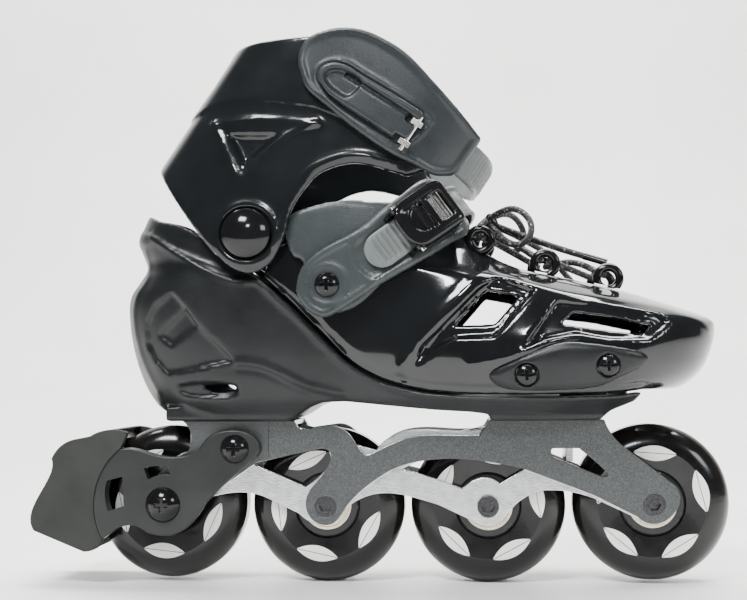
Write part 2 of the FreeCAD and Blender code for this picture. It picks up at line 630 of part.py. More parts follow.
def cuff_lever():
    """The lever, which lies along the strap and lifts outwards about its front pin."""
    tip = (LEG.point(CUFF_HINGE_U + 0.6, 0, 84.0), LEG.point(CUFF_HINGE_U + 0.6, 0, 66.5))
    outline = wire_xz((tip[0].x, tip[0].z), (-1.5, 223.6),
                      [(-6.6, 227.2), (-13.0, 229.2), (-18.6, 227.6)],
                      [(-20.6, 223.4), (-18.5, 219.3)], (-10.9, 210.8), (12.0, 195.4),
                      (tip[1].x, tip[1].z))
    body = LEG.wall(BED_Y + 0.3, BED_Y + 3.5, 40, 120).common(prism(outline, -80, 0))
    at = LEG.point(-6.5, 0, 76.0)
    scoop = Part.makeSphere(13.0, Vec(at.x, -LEG.side_v(-6.5, BED_Y + 3.5) - 11.2, at.z))
    body = body.cut(scoop)
    for w in (CUFF_HINGE_W - 5.0, CUFF_HINGE_W + 5.0):
        body = body.cut(LEG.block(CUFF_HINGE_U - 5.5, CUFF_HINGE_U + 4, -80, -30, w - 1.7,
                                  w + 1.7))
    v = LEG.side_v(CUFF_HINGE_U, BED_Y + 1.9)
    body = body.cut(LEG.pin(CUFF_HINGE_U, -v, 40, 120, 1.0 + RUNNING))
    return largest(body)


def cuff_hinge():
    """Two ears that stand up through the lever's slots, on a plate, and the pin they carry."""
    v = LEG.side_v(CUFF_HINGE_U, BED_Y + 1.9)
    floor = LEG.side_v(CUFF_HINGE_U, BED_Y)
    pin = LEG.pin(CUFF_HINGE_U, -v, CUFF_HINGE_W - 8.5, CUFF_HINGE_W + 8.5, 1.0)
    ears = []
    for w in (CUFF_HINGE_W - 5.0, CUFF_HINGE_W + 5.0):
        ear = LEG.block(CUFF_HINGE_U - 2.6, CUFF_HINGE_U + 2.6, -v - 1.6, -floor + 2.0,
                        w - 1.2, w + 1.2)
        ears.append(ear.cut(LEG.wall(2.0, BED_Y, 40, 120)).cut(pin))
    return [largest(e) for e in ears], pin


def cuff_ladder():
    """The ribbed strap that comes round from the inner side and runs under the broad one."""
    sweep = LEG.wall(0.4, 2.5, 72.0, 88.6)
    keep = LEG.block(0.0, 90, -10, 80, 60, 100).fuse(LEG.block(46, 90, -80, 0, 60, 100))
    body = sweep.common(keep)
    for k in range(13):
        v = -30.0 + 3.6 * k
        body = body.cut(LEG.block(LEG.centre_u + 20, 90, v - 0.6, v + 0.6, 60, 100).cut(
            LEG.wall(-60, 1.7, 60, 100)).common(LEG.wall(1.7, 3.0, 60, 100)))
    return largest(cut(body, *cuff_ladder_screws()))


def cuff_ladder_screws():
    made = []
    for u, w in CUFF_LADDER_SCREWS:
        at = LEG.point(u, 0, w)
        made.append(pan_screw(at.x, at.z, LEG.side_v(u, 2.5) + 0.02, 1, 4.0, 1.8, RIVET_R, 7.0))
    return made


# ---------------------------------------------------------------- instep strap

BUCKLE_U, BUCKLE_W = 49.0, -2.2
LADDER_HALF_W = 8.0
LADDER_SINK = 0.8  # how deep its screws' heads are set in
END_SLACK = 0.3  # the round end's arc runs out just past the strap's edges


def ankle_flaps():
    """Padded wings between the shell and the instep strap."""
    outline = wire_xz(
        (-33.0, 146.0), [(-36.0, 152.0), (-36.4, 160.0), (-33.4, 165.0)],
        [(-23.2, 168.9), (-10.7, 171.4), (2.3, 170.6), (12.0, 170.0), (24.0, 166.0)],
        (28.0, 152.0), (8.0, 135.0), [(-4.0, 124.0), (-16.0, 120.5), (-28.0, 124.0)])
    made = []
    for half in (OUTER_HALF, INNER_HALF):
        wing = FOOT.wall(-2.6, -0.2, -60, 60).common(prism(outline, -80, 80)).common(half)
        wing = wing.cut(rod(ANCHOR.x, ANCHOR.z, ANCHOR_SCREW_R, -60, 60))
        made.append(wing)
    return made


def instep_strap(half):
    """The strap's bed on one side: a round end on its screw, widening to the buckle."""
    end = 66.0
    low = [FOOT.point(u, 0, w) for u, w in ((-6.5, -12.0), (15.0, -13.6), (37.0, -16.0),
                                            (51.0, -17.0), (end, -15.0))]
    top = [FOOT.point(u, 0, w) for u, w in ((end, 11.8), (46.0, 13.0), (26.0, 11.6),
                                            (7.7, 14.2), (-4.0, 13.2))]
    tip = FOOT.point(-14.0, 0, 0)
    xz = lambda p: (p.x, p.z)
    outline = wire_xz(xz(low[0]), [xz(p) for p in low[1:]], xz(top[0]),
                      [xz(p) for p in top[1:]], [xz(tip), xz(low[0])])
    bed = FOOT.wall(0, STRAP_T, -40, 40).common(prism(outline, -80, 80)).common(half)
    bed = bed.cut(rod(ANCHOR.x, ANCHOR.z, ANCHOR_SCREW_R + RUNNING, -80, 80))
    return largest(cut(bed, *ladder_screws()))


def instep_ladder():
    """The toothed strap: from the inner bed over the foot, through the buckle."""
    low, high = STRAP_T + 0.15, STRAP_T + 0.15 + LADDER_T
    sweep = FOOT.wall(low, high, BUCKLE_W - LADDER_HALF_W, BUCKLE_W + LADDER_HALF_W)
    tail = FOOT.block(20.5, 90, -80, 0, -40, 40)
    start = FOOT.block(14.0, 90, 0, 80, -40, 40)
    body = sweep.common(tail.fuse(start))
    for k in range(7):
        u = 24.5 + 2.6 * k
        body = body.cut(FOOT.block(u, u + 0.9, -80, 0, -40, 40).common(
            FOOT.wall(high - 0.7, high + 2, -40, 40)))
    round_end = rod(*end_centre(), LADDER_HALF_W + END_SLACK, -80, 0)
    nose = FOOT.block(19, 20.5 + LADDER_HALF_W, -80, 0, -40, 40).cut(round_end)
    body = body.cut(nose)
    return largest(cut(body, *ladder_screws()))


def end_centre():
    at = FOOT.point(20.5 + LADDER_HALF_W, 0, BUCKLE_W)
    return at.x, at.z


def anchor_screws():
    """The two screws that the straps swing on, each with its nut plate inside the shell."""
    anchors = []
    face = FOOT.side_v(0, STRAP_T) + 0.1
    for side in (-1, 1):
        screw = pan_screw(ANCHOR.x, ANCHOR.z, side * face, side, 5.4, 2.6, ANCHOR_SCREW_R, 14.0)
        nut = rod(ANCHOR.x, ANCHOR.z, 5.0, *sorted((side * 31.2, side * 33.0)))
        anchors.append(fuse(screw, nut))
    return anchors


def ladder_screws():
    """The two that hold the toothed strap to the inner bed."""
    made = []
    for u in (20.0, 34.0):
        at = FOOT.point(u, 0, BUCKLE_W)
        y = FOOT.side_v(u, STRAP_T + 0.15 + LADDER_T) - LADDER_SINK
        made.append(pan_screw(at.x, at.z, y, 1, 3.4, 1.9, 1.6, 3.6))
    return made


def buckle_frame():
    """The buckle's own frame: x along the strap, y across it, z straight out of it."""
    step = 1.0
    a = FOOT.point(BUCKLE_U - step, -FOOT.side_v(BUCKLE_U - step, STRAP_T), BUCKLE_W)
    b = FOOT.point(BUCKLE_U + step, -FOOT.side_v(BUCKLE_U + step, STRAP_T), BUCKLE_W)
    along = (b - a).normalize()
    across = FOOT.up
    out = along.cross(across)
    if out.y > 0:
        out = out * -1
        across = across * -1
    centre = FOOT.point(BUCKLE_U, -FOOT.side_v(BUCKLE_U, STRAP_T), BUCKLE_W)
    return centre, along, across, out


def seat_on_buckle(shape):
    centre, along, across, out = buckle_frame()
    shape = shape.copy()
    turn = FreeCAD.Rotation(along, out.cross(along), out, "ZXY")
    shape.Placement = FreeCAD.Placement(centre, turn)
    return shape


LEVER_PIN_X, LEVER_PIN_Z = -9.0, 6.4
PAWL_PIN_X, PAWL_PIN_Z = 10.0, 5.4
BUCKLE_WALL_Y0, BUCKLE_WALL_Y1 = 8.6, 10.4


def buckle():
    """Base with two side walls, lever with two windows, pawl, pins and the pawl's spring."""
    y0, y1 = BUCKLE_WALL_Y0, BUCKLE_WALL_Y1
    walls = []
    for a, b in ((-y1, -y0), (y0, y1)):
        wall = box(-13, 14.6, a, b, -6, 5.0)
        wall = fuse(wall, rod(LEVER_PIN_X, LEVER_PIN_Z, 2.6, a, b),
                    rod(PAWL_PIN_X, PAWL_PIN_Z, 2.6, a, b))
        walls.append(wall)
    bridge = box(13.1, 14.6, -y1, y1, 3.4, 4.6)
    base = fuse(walls[0], walls[1], bridge)
    base = base.cut(rod(LEVER_PIN_X, LEVER_PIN_Z, 1.2, -20, 20))
    base = base.cut(rod(PAWL_PIN_X, PAWL_PIN_Z, 1.0, -20, 20))
    base = seat_on_buckle(base).cut(FOOT.wall(-10, STRAP_T + 0.02, -60, 60))
    base = base.cut(FOOT.wall(STRAP_T + 0.02, STRAP_T + LADDER_T + 0.3,
                              BUCKLE_W - LADDER_HALF_W - 0.2, BUCKLE_W + LADDER_HALF_W + 0.2))
    base = largest(base)

    lever_y = 12.0
    shell = box(-14.5, 15.5, -lever_y, lever_y, 3.0, 11.4)
    shell = rounded(shell, 7.0, lambda e: e.BoundBox.ZLength > 8)
    shell = rounded(shell, 2.2, lambda e: e.BoundBox.ZMin > 11.3)
    hollow = box(-30, 30, -y1 - 0.25, y1 + 0.25, 2, 9.4)
    lever = shell.cut(hollow)
    lever = lever.cut(box(4.5, 11.5, -6.5, 6.5, 5, 15))
    d_window = Part.makeCylinder(5.2, 12, Vec(-4.6, 0, 5)).common(box(-12, -5.2, -6, 6, 5, 17))
    lever = lever.cut(d_window)
    lever = lever.cut(rod(LEVER_PIN_X, LEVER_PIN_Z, 1.2 + RUNNING, -20, 20))
    behind = box(-20, LEVER_PIN_X, -14, 14, 0, LEVER_PIN_Z)
    lever = lever.cut(behind.cut(rod(LEVER_PIN_X, LEVER_PIN_Z, 3.6, -15, 15)))
    lever_pin = rod(LEVER_PIN_X, LEVER_PIN_Z, 1.2, -lever_y + 0.3, lever_y - 0.3)
    pawl_pin = rod(PAWL_PIN_X, PAWL_PIN_Z, 1.0, -y1, y1)
    pawl = fuse(box(1.0, 9.0, -6.0, 6.0, 5.2, 6.4),
                rod(PAWL_PIN_X, PAWL_PIN_Z, 1.9, -7.5, 7.5),
                prism(wire_xz((1.0, 5.6), (1.0, 3.2), (2.2, 3.2), (4.4, 5.6)), -6.0, 6.0))
    pawl = pawl.cut(rod(PAWL_PIN_X, PAWL_PIN_Z, 1.0 + RUNNING, -20, 20))
    coil = tube(PAWL_PIN_X, PAWL_PIN_Z, 2.1, 2.9, 7.6, 8.4)
    return (base, seat_on_buckle(lever), seat_on_buckle(pawl),
            [seat_on_buckle(lever_pin), seat_on_buckle(pawl_pin)], seat_on_buckle(coil))


# ---------------------------------------------------------------- laces

LACE_D = 3.0
EYELETS = ((49.0, 152.6), (78.0, 141.4), (106.0, 134.6))  # x and z of each pair's centre
EYELET_Y = 17.0
UNDER_LIFT, OVER_LIFT = 3.6, 8.4  # how high the two laces of a cross arch in the middle
KNOT = Vec(53.5, 0, 164.5)


def eyelet_rings(shell, laces):
    """Rings that stand on the shell along both edges of the throat, with the laces through."""
    rings = []
    for x, z in EYELETS:
        for side in (-1, 1):
            ring = Part.makeTorus(5.0, 1.9, Vec(x, side * EYELET_Y, z + 2.0), Vec(0, 1, 0))
            rings.append(largest(cut(ring, shell, *laces)))
    return rings


def cord(points, diameter=LACE_D):
    """A round cord along straight runs with rounded corners."""
    edges, radii = [], []
    here = points[0]
    for k in range(1, len(points) - 1):
        into = (points[k] - points[k - 1])
        away = (points[k + 1] - points[k])
        turn = into.getAngle(away)
        shorter = min(into.Length, away.Length)
        back = 0.45 * shorter
        into.normalize()
        away.normalize()
        start, end = points[k] - into * back, points[k] + away * back
        radius = back / math.tan(turn / 2)
        radii.append(round(radius, 2))
        middle_dir = (away - into).normalize()
        centre = points[k] + middle_dir * (radius / math.cos(turn / 2))
        middle = centre - middle_dir * radius
        if here.distanceToPoint(start) > 1e-6:
            edges.append(Part.LineSegment(here, start).toShape())
        edges.append(Part.Arc(start, middle, end).toShape())
        here = end
    edges.append(Part.LineSegment(here, points[-1]).toShape())
    path = Part.Wire(edges)
    aim = points[1] - points[0]
    ring = Part.Wire(Part.makeCircle(diameter / 2, points[0], aim))
    made = path.makePipeShell([ring], True, False, 1)
    print("cord", round(path.Length, 1), "mm, bend radii", radii)
    expected = path.Length * math.pi * diameter ** 2 / 4
    if abs(made.Volume - expected) > 0.02 * expected:
        print("cord volume off", round(made.Volume, 1), round(expected, 1))
    return made if made.Solids else Part.makeSolid(made)


def lace_crossings():
    """The lace where the eyelets hold it, one over the other in the middle of each cross,
    and the two ends that climb to the knot."""
    runs = []
    for (x0, z0), (x1, z1) in zip(EYELETS, EYELETS[1:]):
        for side, lift in ((-1, UNDER_LIFT), (1, OVER_LIFT)):
            y = side * EYELET_Y
            runs.append(cord([Vec(x0 + 1.7, y, z0 + 3.4),
                              Vec((x0 + x1) / 2, 0, (z0 + z1) / 2 + lift),
                              Vec(x1 - 1.7, -y, z1 + 3.4)]))
    x, z = EYELETS[0]
    for side in (-1, 1):
        end = cord([Vec(x - 1.7, side * EYELET_Y, z + 3.4), Vec(x - 0.6, side * 11.0, z + 8.6),
                    Vec(KNOT.x - 2.0, side * 3.0, KNOT.z + 0.3)])
        runs.append(end.cut(lace_knot()))
    return runs


def lace_knot():
    """A round core with two turns of lace wrapped over it."""
    core = Part.makeSphere(3.2, KNOT)
    turns = [Part.makeTorus(2.4, LACE_D / 2 + 0.1, KNOT + Vec(1.2 * k, 0, 0.6 * k),
                            Vec(0.5 + k, 0.4 * k, 1)) for k in (-1, 1)]
    return core.fuse(turns[0]).fuse(turns[1])


# Routes of the loose lace: two bow loops and two tails, each from the knot.
LOOP_OUTER = [(55.4, -2.5, 167.3), (61.5, -6.4, 170.6), (68.4, -9.8, 168.6),
              (72.8, -12.2, 162.4), (71.6, -13.6, 155.4), (66.0, -13.9, 151.9),
              (60.4, -11.6, 154.6), (57.0, -7.6, 158.9), (53.9, -3.6, 162.4)]
LOOP_INNER = [(55.4, 2.5, 167.3), (60.6, 8.0, 170.3), (66.6, 13.2, 167.8),
              (70.2, 17.6, 161.6), (69.4, 20.6, 154.8), (64.2, 20.4, 151.9),
              (59.6, 15.8, 154.9), (57.0, 9.7, 158.8), (54.2, 3.9, 162.0)]
TAIL_OUTER = [(56.9, -1.6, 162.6), (64.2, -3.2, 159.4), (72.0, -4.6, 156.4),
              (80.4, -5.8, 153.0), (88.4, -6.8, 150.1), (96.0, -8.0, 147.6)]
TAIL_INNER = [(56.9, 1.6, 162.6), (63.6, 5.4, 160.0), (71.0, 11.0, 156.6),
              (79.0, 16.6, 152.6), (86.0, 23.4, 146.4), (91.4, 30.0, 140.4)]


def aglet(route):
    """The stiff tip on a tail's end."""
    end, before = Vec(*route[-1]), Vec(*route[-2])
    aim = (end - before).normalize()
    return Part.makeCylinder(LACE_D / 2 + 0.15, 11.0, end, aim)


# ---------------------------------------------------------------- heel brake

WEB_R0, WEB_R1 = 36.8, 40.0  # the wall behind the wheel that joins the two arms
SEAM_R = 32.0  # the pad meets the arms along this radius round the axle


def axle_arc(radius, start, end, steps=6):
    """Points round the rear axle, angles in degrees."""
    x, z = AXLE_X[3], AXLE_Z[3]
    return [(x + radius * math.cos(math.radians(start + (end - start) * k / steps)),
             z + radius * math.sin(math.radians(start + (end - start) * k / steps)))
            for k in range(steps + 1)]


def brake_arm():
    seam = axle_arc(SEAM_R - 0.1, 209.0, 128.0)
    outline = wire_xz(
        seam[-1], [(-111.1, 61.7), (-99.6, 59.0), (-91.4, 57.7), (-84.0, 58.4), (-77.8, 61.7)],
        [(-71.1, 68.2), (-65.5, 69.5), (-56.0, 68.4), (-51.6, 65.0)],
        [(-50.6, 61.0), (-54.5, 56.0)], (-67.5, 44.6), (-75.7, 36.6),
        [(-82.7, 27.0), (-88.0, 23.4), (-94.8, 22.4), (-102.0, 23.6)],
        [(-110.0, 27.0), (-115.5, 25.6)], seam[0], seam[1:])
    window = wire_xz((-113.4, 48.8), (-120.4, 47.0), [(-121.4, 40.0), (-119.8, 33.4)],
                     (-112.6, 35.4))
    slot = wire_xz((-103.4, 52.6), [(-98.0, 53.6), (-92.0, 53.4)], (-91.6, 49.8),
                   [(-96.0, 49.6), (-101.6, 47.6)])
    x, z = AXLE_X[3], AXLE_Z[3]
    ring = wire_xz(axle_arc(WEB_R1, 128, 205)[0], axle_arc(WEB_R1, 128, 205)[1:],
                   axle_arc(WEB_R0, 205, 128)[0], axle_arc(WEB_R0, 205, 128)[1:])
    strip = wire_xz(axle_arc(WEB_R1, 128, 205)[0], axle_arc(WEB_R1, 128, 205)[1:],
                    axle_arc(25.0, 205, 128)[0], axle_arc(25.0, 205, 128)[1:])
    arm = prism(ring, -ARM_Y0 - 0.6, ARM_Y0 + 0.6)
    for side in (-1, 1):
        plate = prism(outline, *sorted((side * ARM_Y0, side * ARM_Y1)))
        plate = rounded(plate, 0.8, outer_side_edges(side * ARM_Y1))
        strip_part = prism(strip, *sorted((side * 17.4, side * (ARM_Y0 + 0.6))))
        arm = arm.fuse(plate).fuse(strip_part)
    arm = cut(arm, prism(window, -60, 60), prism(slot, -60, 60))
    arm = cut(arm, rod(x, z, AXLE_R + RUNNING, -60, 60), rod(*BRAKE_BOLT, BRAKE_BOLT_R + RUNNING,
                                                           -60, 60))
    return arm.cut(Part.makeCylinder(2.4, 40, Vec(-160, 0, PAD_SCREW_Z), Vec(1, 0, 0)))


PAD_SCREW_Z = 44.0


def brake_pad():
    seam = axle_arc(SEAM_R + 0.1, 128.0, 209.0)
    outline = wire_xz(
        (-154.4, 24.4), [(-155.6, 26.6), (-153.4, 38.1), (-146.5, 56.9)],
        [(-141.6, 63.1), (-134.0, 66.0)], (-128.7, 67.0), [(-122.2, 69.6), (-111.4, 68.6)],
        seam[0], seam[1:], [(-124.0, 18.0), (-131.2, 15.0)])
    x, z = AXLE_X[3], AXLE_Z[3]
    pad = prism(outline, -24.0, 24.0)
    pad = rounded(pad, 1.0, outer_side_edges(-24.0))
    pad = pad.cut(rod(x, z, WEB_R1 + 0.2, -ARM_Y0 - 0.8, ARM_Y0 + 0.8))
    pad = pad.cut(Part.makeCylinder(5.0, 18, Vec(-160, 0, PAD_SCREW_Z), Vec(1, 0, 0)))
    pad = pad.cut(Part.makeCylinder(2.4, 40, Vec(-160, 0, PAD_SCREW_Z), Vec(1, 0, 0)))
    return largest(pad)


def brake_pad_screw():
    head = Part.makeCylinder(4.6, 3.0, Vec(-145.0, 0, PAD_SCREW_Z), Vec(1, 0, 0))
    shank = Part.makeCylinder(2.35, 15.2, Vec(-145.0, 0, PAD_SCREW_Z), Vec(1, 0, 0))
    socket = Part.makeCylinder(1.8, 2.0, Vec(-145.1, 0, PAD_SCREW_Z), Vec(1, 0, 0))
    return fuse(head, shank).cut(socket)


def brake_fixings():
    """The long rear axle bolt and the upper bolt, each with a domed head and a domed nut."""
    bolts, nuts = [], []
    y = ARM_Y1
    for (x, z), r, dome in (((AXLE_X[3], AXLE_Z[3]), AXLE_R, 8.0), (BRAKE_BOLT, BRAKE_BOLT_R,
                                                                    6.5)):
        rise = dome * 0.55
        ball_r = (dome ** 2 + rise ** 2) / (2 * rise)
        for side in (-1, 1):
            ball = Part.makeSphere(ball_r, Vec(x, side * (y + rise - ball_r), z))
            cap = ball.common(rod(x, z, dome, *sorted((side * y, side * (y + rise)))))
            if side < 0:
                top = -y - rise
                cap = cap.cut(cross_socket(x, z, top - 1, top + 1.6, 3.0))
                bolts.append(fuse(cap, rod(x, z, r, -y - 0.02, y + rise * 0.4)))
            else:
                nuts.append(cap.cut(rod(x, z, r, y - 1, y + rise * 0.4)))
    return bolts + nuts


if __name__ == "__main__":
    inner_rings, spacers = [], []
    for k in range(4):
        rings, spacer = wheel_parts(k)
        inner_rings += rings
        spacers.append(spacer)
    save("bearing_inner_rings", *inner_rings)
    save("bearing_spacers", *spacers)
    save("axle_bolts", *axle_bolts())
    save("frame", frame())
    bolts, nut_plates = frame_bolts()
    save("frame_bolts", *bolts)
    save("frame_nut_plates", *nut_plates)
    save("base_shell", base_shell())
    upper = upper_shell()
    save("upper_shell", upper)
    plates, screws = sliders()
    save("sliders", *plates)
    save("slider_screws", *screws)
    save("cuff", cuff())
    bushes, bolts, caps = cuff_pivots()
    save("cuff_bushes", *bushes)
    save("cuff_pivot_bolts", *bolts)
    save("cuff_pivot_caps", *caps)
    save("cuff_strap", cuff_strap())
    save("cuff_strap_rivets", *cuff_rivets())
    save("cuff_lever", cuff_lever())
    ears, pin = cuff_hinge()
    save("cuff_hinge", *ears, pin)
    save("cuff_ladder", cuff_ladder())
    save("cuff_ladder_screws", *cuff_ladder_screws())
    save("ankle_flaps", *ankle_flaps())
    save("instep_strap", instep_strap(OUTER_HALF))
    save("instep_strap_inner", instep_strap(INNER_HALF))
    save("instep_ladder", instep_ladder())
    save("instep_anchor_screws", *anchor_screws())
    save("instep_ladder_screws", *ladder_screws())
    base, lever, pawl, pins, coil = buckle()
    save("buckle_base", base)
    save("buckle_lever", lever)
    save("buckle_pawl", pawl)
    save("buckle_pins", *pins)
    save("buckle_spring", coil)
    laces = lace_crossings()
    save("lace_crossings", *laces)
    save("eyelet_rings", *eyelet_rings(upper, laces))
    save("lace_knot", lace_knot())
    for name, route in (("lace_loop_outer", LOOP_OUTER), ("lace_loop_inner", LOOP_INNER),
                        ("lace_tail_outer", TAIL_OUTER), ("lace_tail_inner", TAIL_INNER)):
        save(name, cord([Vec(*p) for p in route]))
    save("lace_aglets", aglet(TAIL_OUTER), aglet(TAIL_INNER))
    save("brake_arm", brake_arm())
    save("brake_pad", brake_pad())
    save("brake_pad_screw", brake_pad_screw())
    save("brake_bolts", *brake_fixings())
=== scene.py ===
"""Looks for the right inline skate: moulded shells, straps, buckles, wheels and brake."""

import math

import bpy
import numpy as np
from mathutils import Matrix, Vector


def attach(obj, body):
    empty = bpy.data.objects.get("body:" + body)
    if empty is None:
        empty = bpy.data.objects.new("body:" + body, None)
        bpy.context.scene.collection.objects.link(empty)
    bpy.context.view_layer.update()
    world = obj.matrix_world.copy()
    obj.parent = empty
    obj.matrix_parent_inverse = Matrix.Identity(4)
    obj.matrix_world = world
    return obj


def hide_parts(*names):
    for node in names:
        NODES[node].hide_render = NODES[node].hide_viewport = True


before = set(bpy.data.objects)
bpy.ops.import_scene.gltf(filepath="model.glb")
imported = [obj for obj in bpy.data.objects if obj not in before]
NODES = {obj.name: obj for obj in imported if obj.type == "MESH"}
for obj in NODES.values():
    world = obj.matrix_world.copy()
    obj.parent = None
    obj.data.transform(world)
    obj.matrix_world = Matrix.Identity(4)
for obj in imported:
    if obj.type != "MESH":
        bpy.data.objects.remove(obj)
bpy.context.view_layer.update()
MM = 0.001

# ---------------------------------------------------------------- camera

CAMERA_AT = (0.0486, -0.600, 0.094)
YAW, PITCH, ROLL = math.radians(4.72), math.radians(3.33), math.radians(-0.35)
LENS = 62.17


def add_camera():
    data = bpy.data.cameras.new("camera")
    data.lens = LENS
    data.sensor_width = 36.0
    data.clip_start = 0.01
    camera = bpy.data.objects.new("camera", data)
    turn = (Matrix.Rotation(YAW, 4, "Z") @ Matrix.Rotation(math.pi / 2 + PITCH, 4, "X")
            @ Matrix.Rotation(ROLL, 4, "Z"))
    camera.matrix_world = Matrix.Translation(CAMERA_AT) @ turn
    bpy.context.scene.collection.objects.link(camera)
    bpy.context.scene.camera = camera


# ---------------------------------------------------------------- materials

def new_material(name):
    material = bpy.data.materials.new(name)
    material.use_nodes = True
    tree = material.node_tree
    return material, tree, tree.nodes["Principled BSDF"]


def node(tree, kind, **values):
    """Adds a node; keys name its properties or its input sockets."""
    made = tree.nodes.new(kind)
    for key, value in values.items():
        if key in made.inputs:
            made.inputs[key].default_value = value
        else:
            setattr(made, key, value)
    return made


def noise(tree, scale, detail=3.0, roughness=0.5):
    place = node(tree, "ShaderNodeTexCoord")
    made = node(tree, "ShaderNodeTexNoise", Scale=scale, Detail=detail, Roughness=roughness)
    tree.links.new(place.outputs["Object"], made.inputs["Vector"])
    return made.outputs[0]


def ramp(tree, source, low, high, start=0.3, end=0.7):
    """Maps a 0..1 source to a colour or grey between low and high."""
    made = node(tree, "ShaderNodeValToRGB")
    tree.links.new(source, made.inputs[0])
    for stop, value, at in zip(made.color_ramp.elements, (low, high), (start, end)):
        stop.position = at
        stop.color = tuple(value) + (1.0,) if isinstance(value, tuple) else (value,) * 3 + (1.0,)
    return made.outputs[0]


def bump(tree, shader, height, strength, distance, onto=None):
    made = node(tree, "ShaderNodeBump", Strength=strength, Distance=distance)
    tree.links.new(height, made.inputs["Height"])
    if onto is not None:
        tree.links.new(onto, made.inputs["Normal"])
    tree.links.new(made.outputs[0], shader.inputs["Normal"])
    return made.outputs[0]


def plastic(name, dark, light, rough, grain, grain_size, edge=0.0, coat=0.0):
    """Moulded plastic: slightly uneven colour and shine over a fine moulded grain."""
    material, tree, shader = new_material(name)
    tree.links.new(ramp(tree, noise(tree, 38.0), dark, light), shader.inputs["Base Color"])
    tree.links.new(ramp(tree, noise(tree, 90.0, 4.0), rough[0], rough[1]),
                   shader.inputs["Roughness"])
    shader.inputs["Specular IOR Level"].default_value = 0.3
    shader.inputs["Coat Weight"].default_value = coat
    shader.inputs["Coat Roughness"].default_value = 0.05
    rounding = node(tree, "ShaderNodeBevel", samples=6, Radius=edge * MM) if edge else None
    onto = rounding.outputs[0] if rounding else None
    bump(tree, shader, noise(tree, grain_size, 2.0), grain, 0.0004, onto)
    return material


def metal(name, dark, light, rough, grain=0.08, grain_size=900.0, edge=0.3, stretch=None):
    material, tree, shader = new_material(name)
    shader.inputs["Metallic"].default_value = 1.0
    if stretch:
        place = node(tree, "ShaderNodeTexCoord")
        scaled = node(tree, "ShaderNodeMapping")
        scaled.inputs["Scale"].default_value = stretch
        tree.links.new(place.outputs["Object"], scaled.inputs["Vector"])
        marks = node(tree, "ShaderNodeTexNoise", Scale=grain_size, Detail=3.0)
        tree.links.new(scaled.outputs[0], marks.inputs["Vector"])
        source = marks.outputs[0]
    else:
        source = noise(tree, grain_size, 3.0)
    tree.links.new(ramp(tree, source, dark, light), shader.inputs["Base Color"])
    tree.links.new(ramp(tree, noise(tree, 120.0), rough[0], rough[1]), shader.inputs["Roughness"])
    rounding = node(tree, "ShaderNodeBevel", samples=6, Radius=edge * MM)
    bump(tree, shader, source, grain, 0.0003, rounding.outputs[0])
    return material


def paint(material, *names):
    for name in names:
        mesh = NODES[name].data
        mesh.materials.clear()
        mesh.materials.append(material)


# ---------------------------------------------------------------- finishes

RAIL_FACE = 0.0164  # the frame's coated rails lie further out than this
PRINT_FACE = 0.0095  # the wheels' flat faces, where the leaves are printed
LEAF_AT, LEAF_HALF_LENGTH, LEAF_HALF_WIDTH, VEIN = 0.0222, 9.7, 3.4, 0.16

SHELL = plastic("shell_plastic", (0.006, 0.007, 0.0075), (0.011, 0.012, 0.013), (0.3, 0.4),
                0.12, 1400.0)
UPPER = plastic("upper_plastic", (0.004, 0.0045, 0.005), (0.008, 0.009, 0.01), (0.09, 0.15),
                0.02, 900.0, coat=0.5)
CUFF = plastic("cuff_plastic", (0.005, 0.006, 0.0065), (0.009, 0.0105, 0.0115), (0.15, 0.23),
               0.06, 1300.0, coat=0.3)
STRAP = plastic("strap_plastic", (0.02, 0.023, 0.025), (0.032, 0.036, 0.038), (0.24, 0.34),
                0.18, 1500.0)
BED = plastic("strap_bed", (0.028, 0.033, 0.034), (0.043, 0.05, 0.051), (0.24, 0.34), 0.2, 1500.0)
LADDER = plastic("ladder_plastic", (0.1, 0.112, 0.11), (0.15, 0.165, 0.16), (0.3, 0.42), 0.15,
                 1600.0)
GLOSS = plastic("buckle_plastic", (0.004, 0.004, 0.0045), (0.008, 0.008, 0.009), (0.08, 0.15),
                0.03, 700.0, edge=0.5, coat=0.1)
ARM = plastic("brake_plastic", (0.012, 0.014, 0.013), (0.02, 0.023, 0.021), (0.34, 0.46), 0.2,
              1500.0, edge=0.7, coat=0.1)
PAD = plastic("brake_rubber", (0.016, 0.018, 0.016), (0.027, 0.03, 0.027), (0.62, 0.8), 0.4,
              800.0, edge=1.0)
CORE = plastic("core_plastic", (0.006, 0.006, 0.007), (0.012, 0.012, 0.013), (0.25, 0.4), 0.08,
               900.0, edge=0.3, coat=0.3)
BRASS = metal("bush_brass", (0.6, 0.43, 0.16), (0.72, 0.54, 0.24), (0.25, 0.4))
STEEL = metal("bright_steel", (0.6, 0.59, 0.56), (0.78, 0.77, 0.73), (0.16, 0.3), 0.05, 1200.0)
BEARING = metal("bearing_steel", (0.62, 0.56, 0.42), (0.78, 0.73, 0.6), (0.2, 0.34), 0.06, 1500.0)
BOLT = metal("dark_steel", (0.04, 0.04, 0.042), (0.09, 0.09, 0.093), (0.25, 0.4), 0.1, 1100.0)


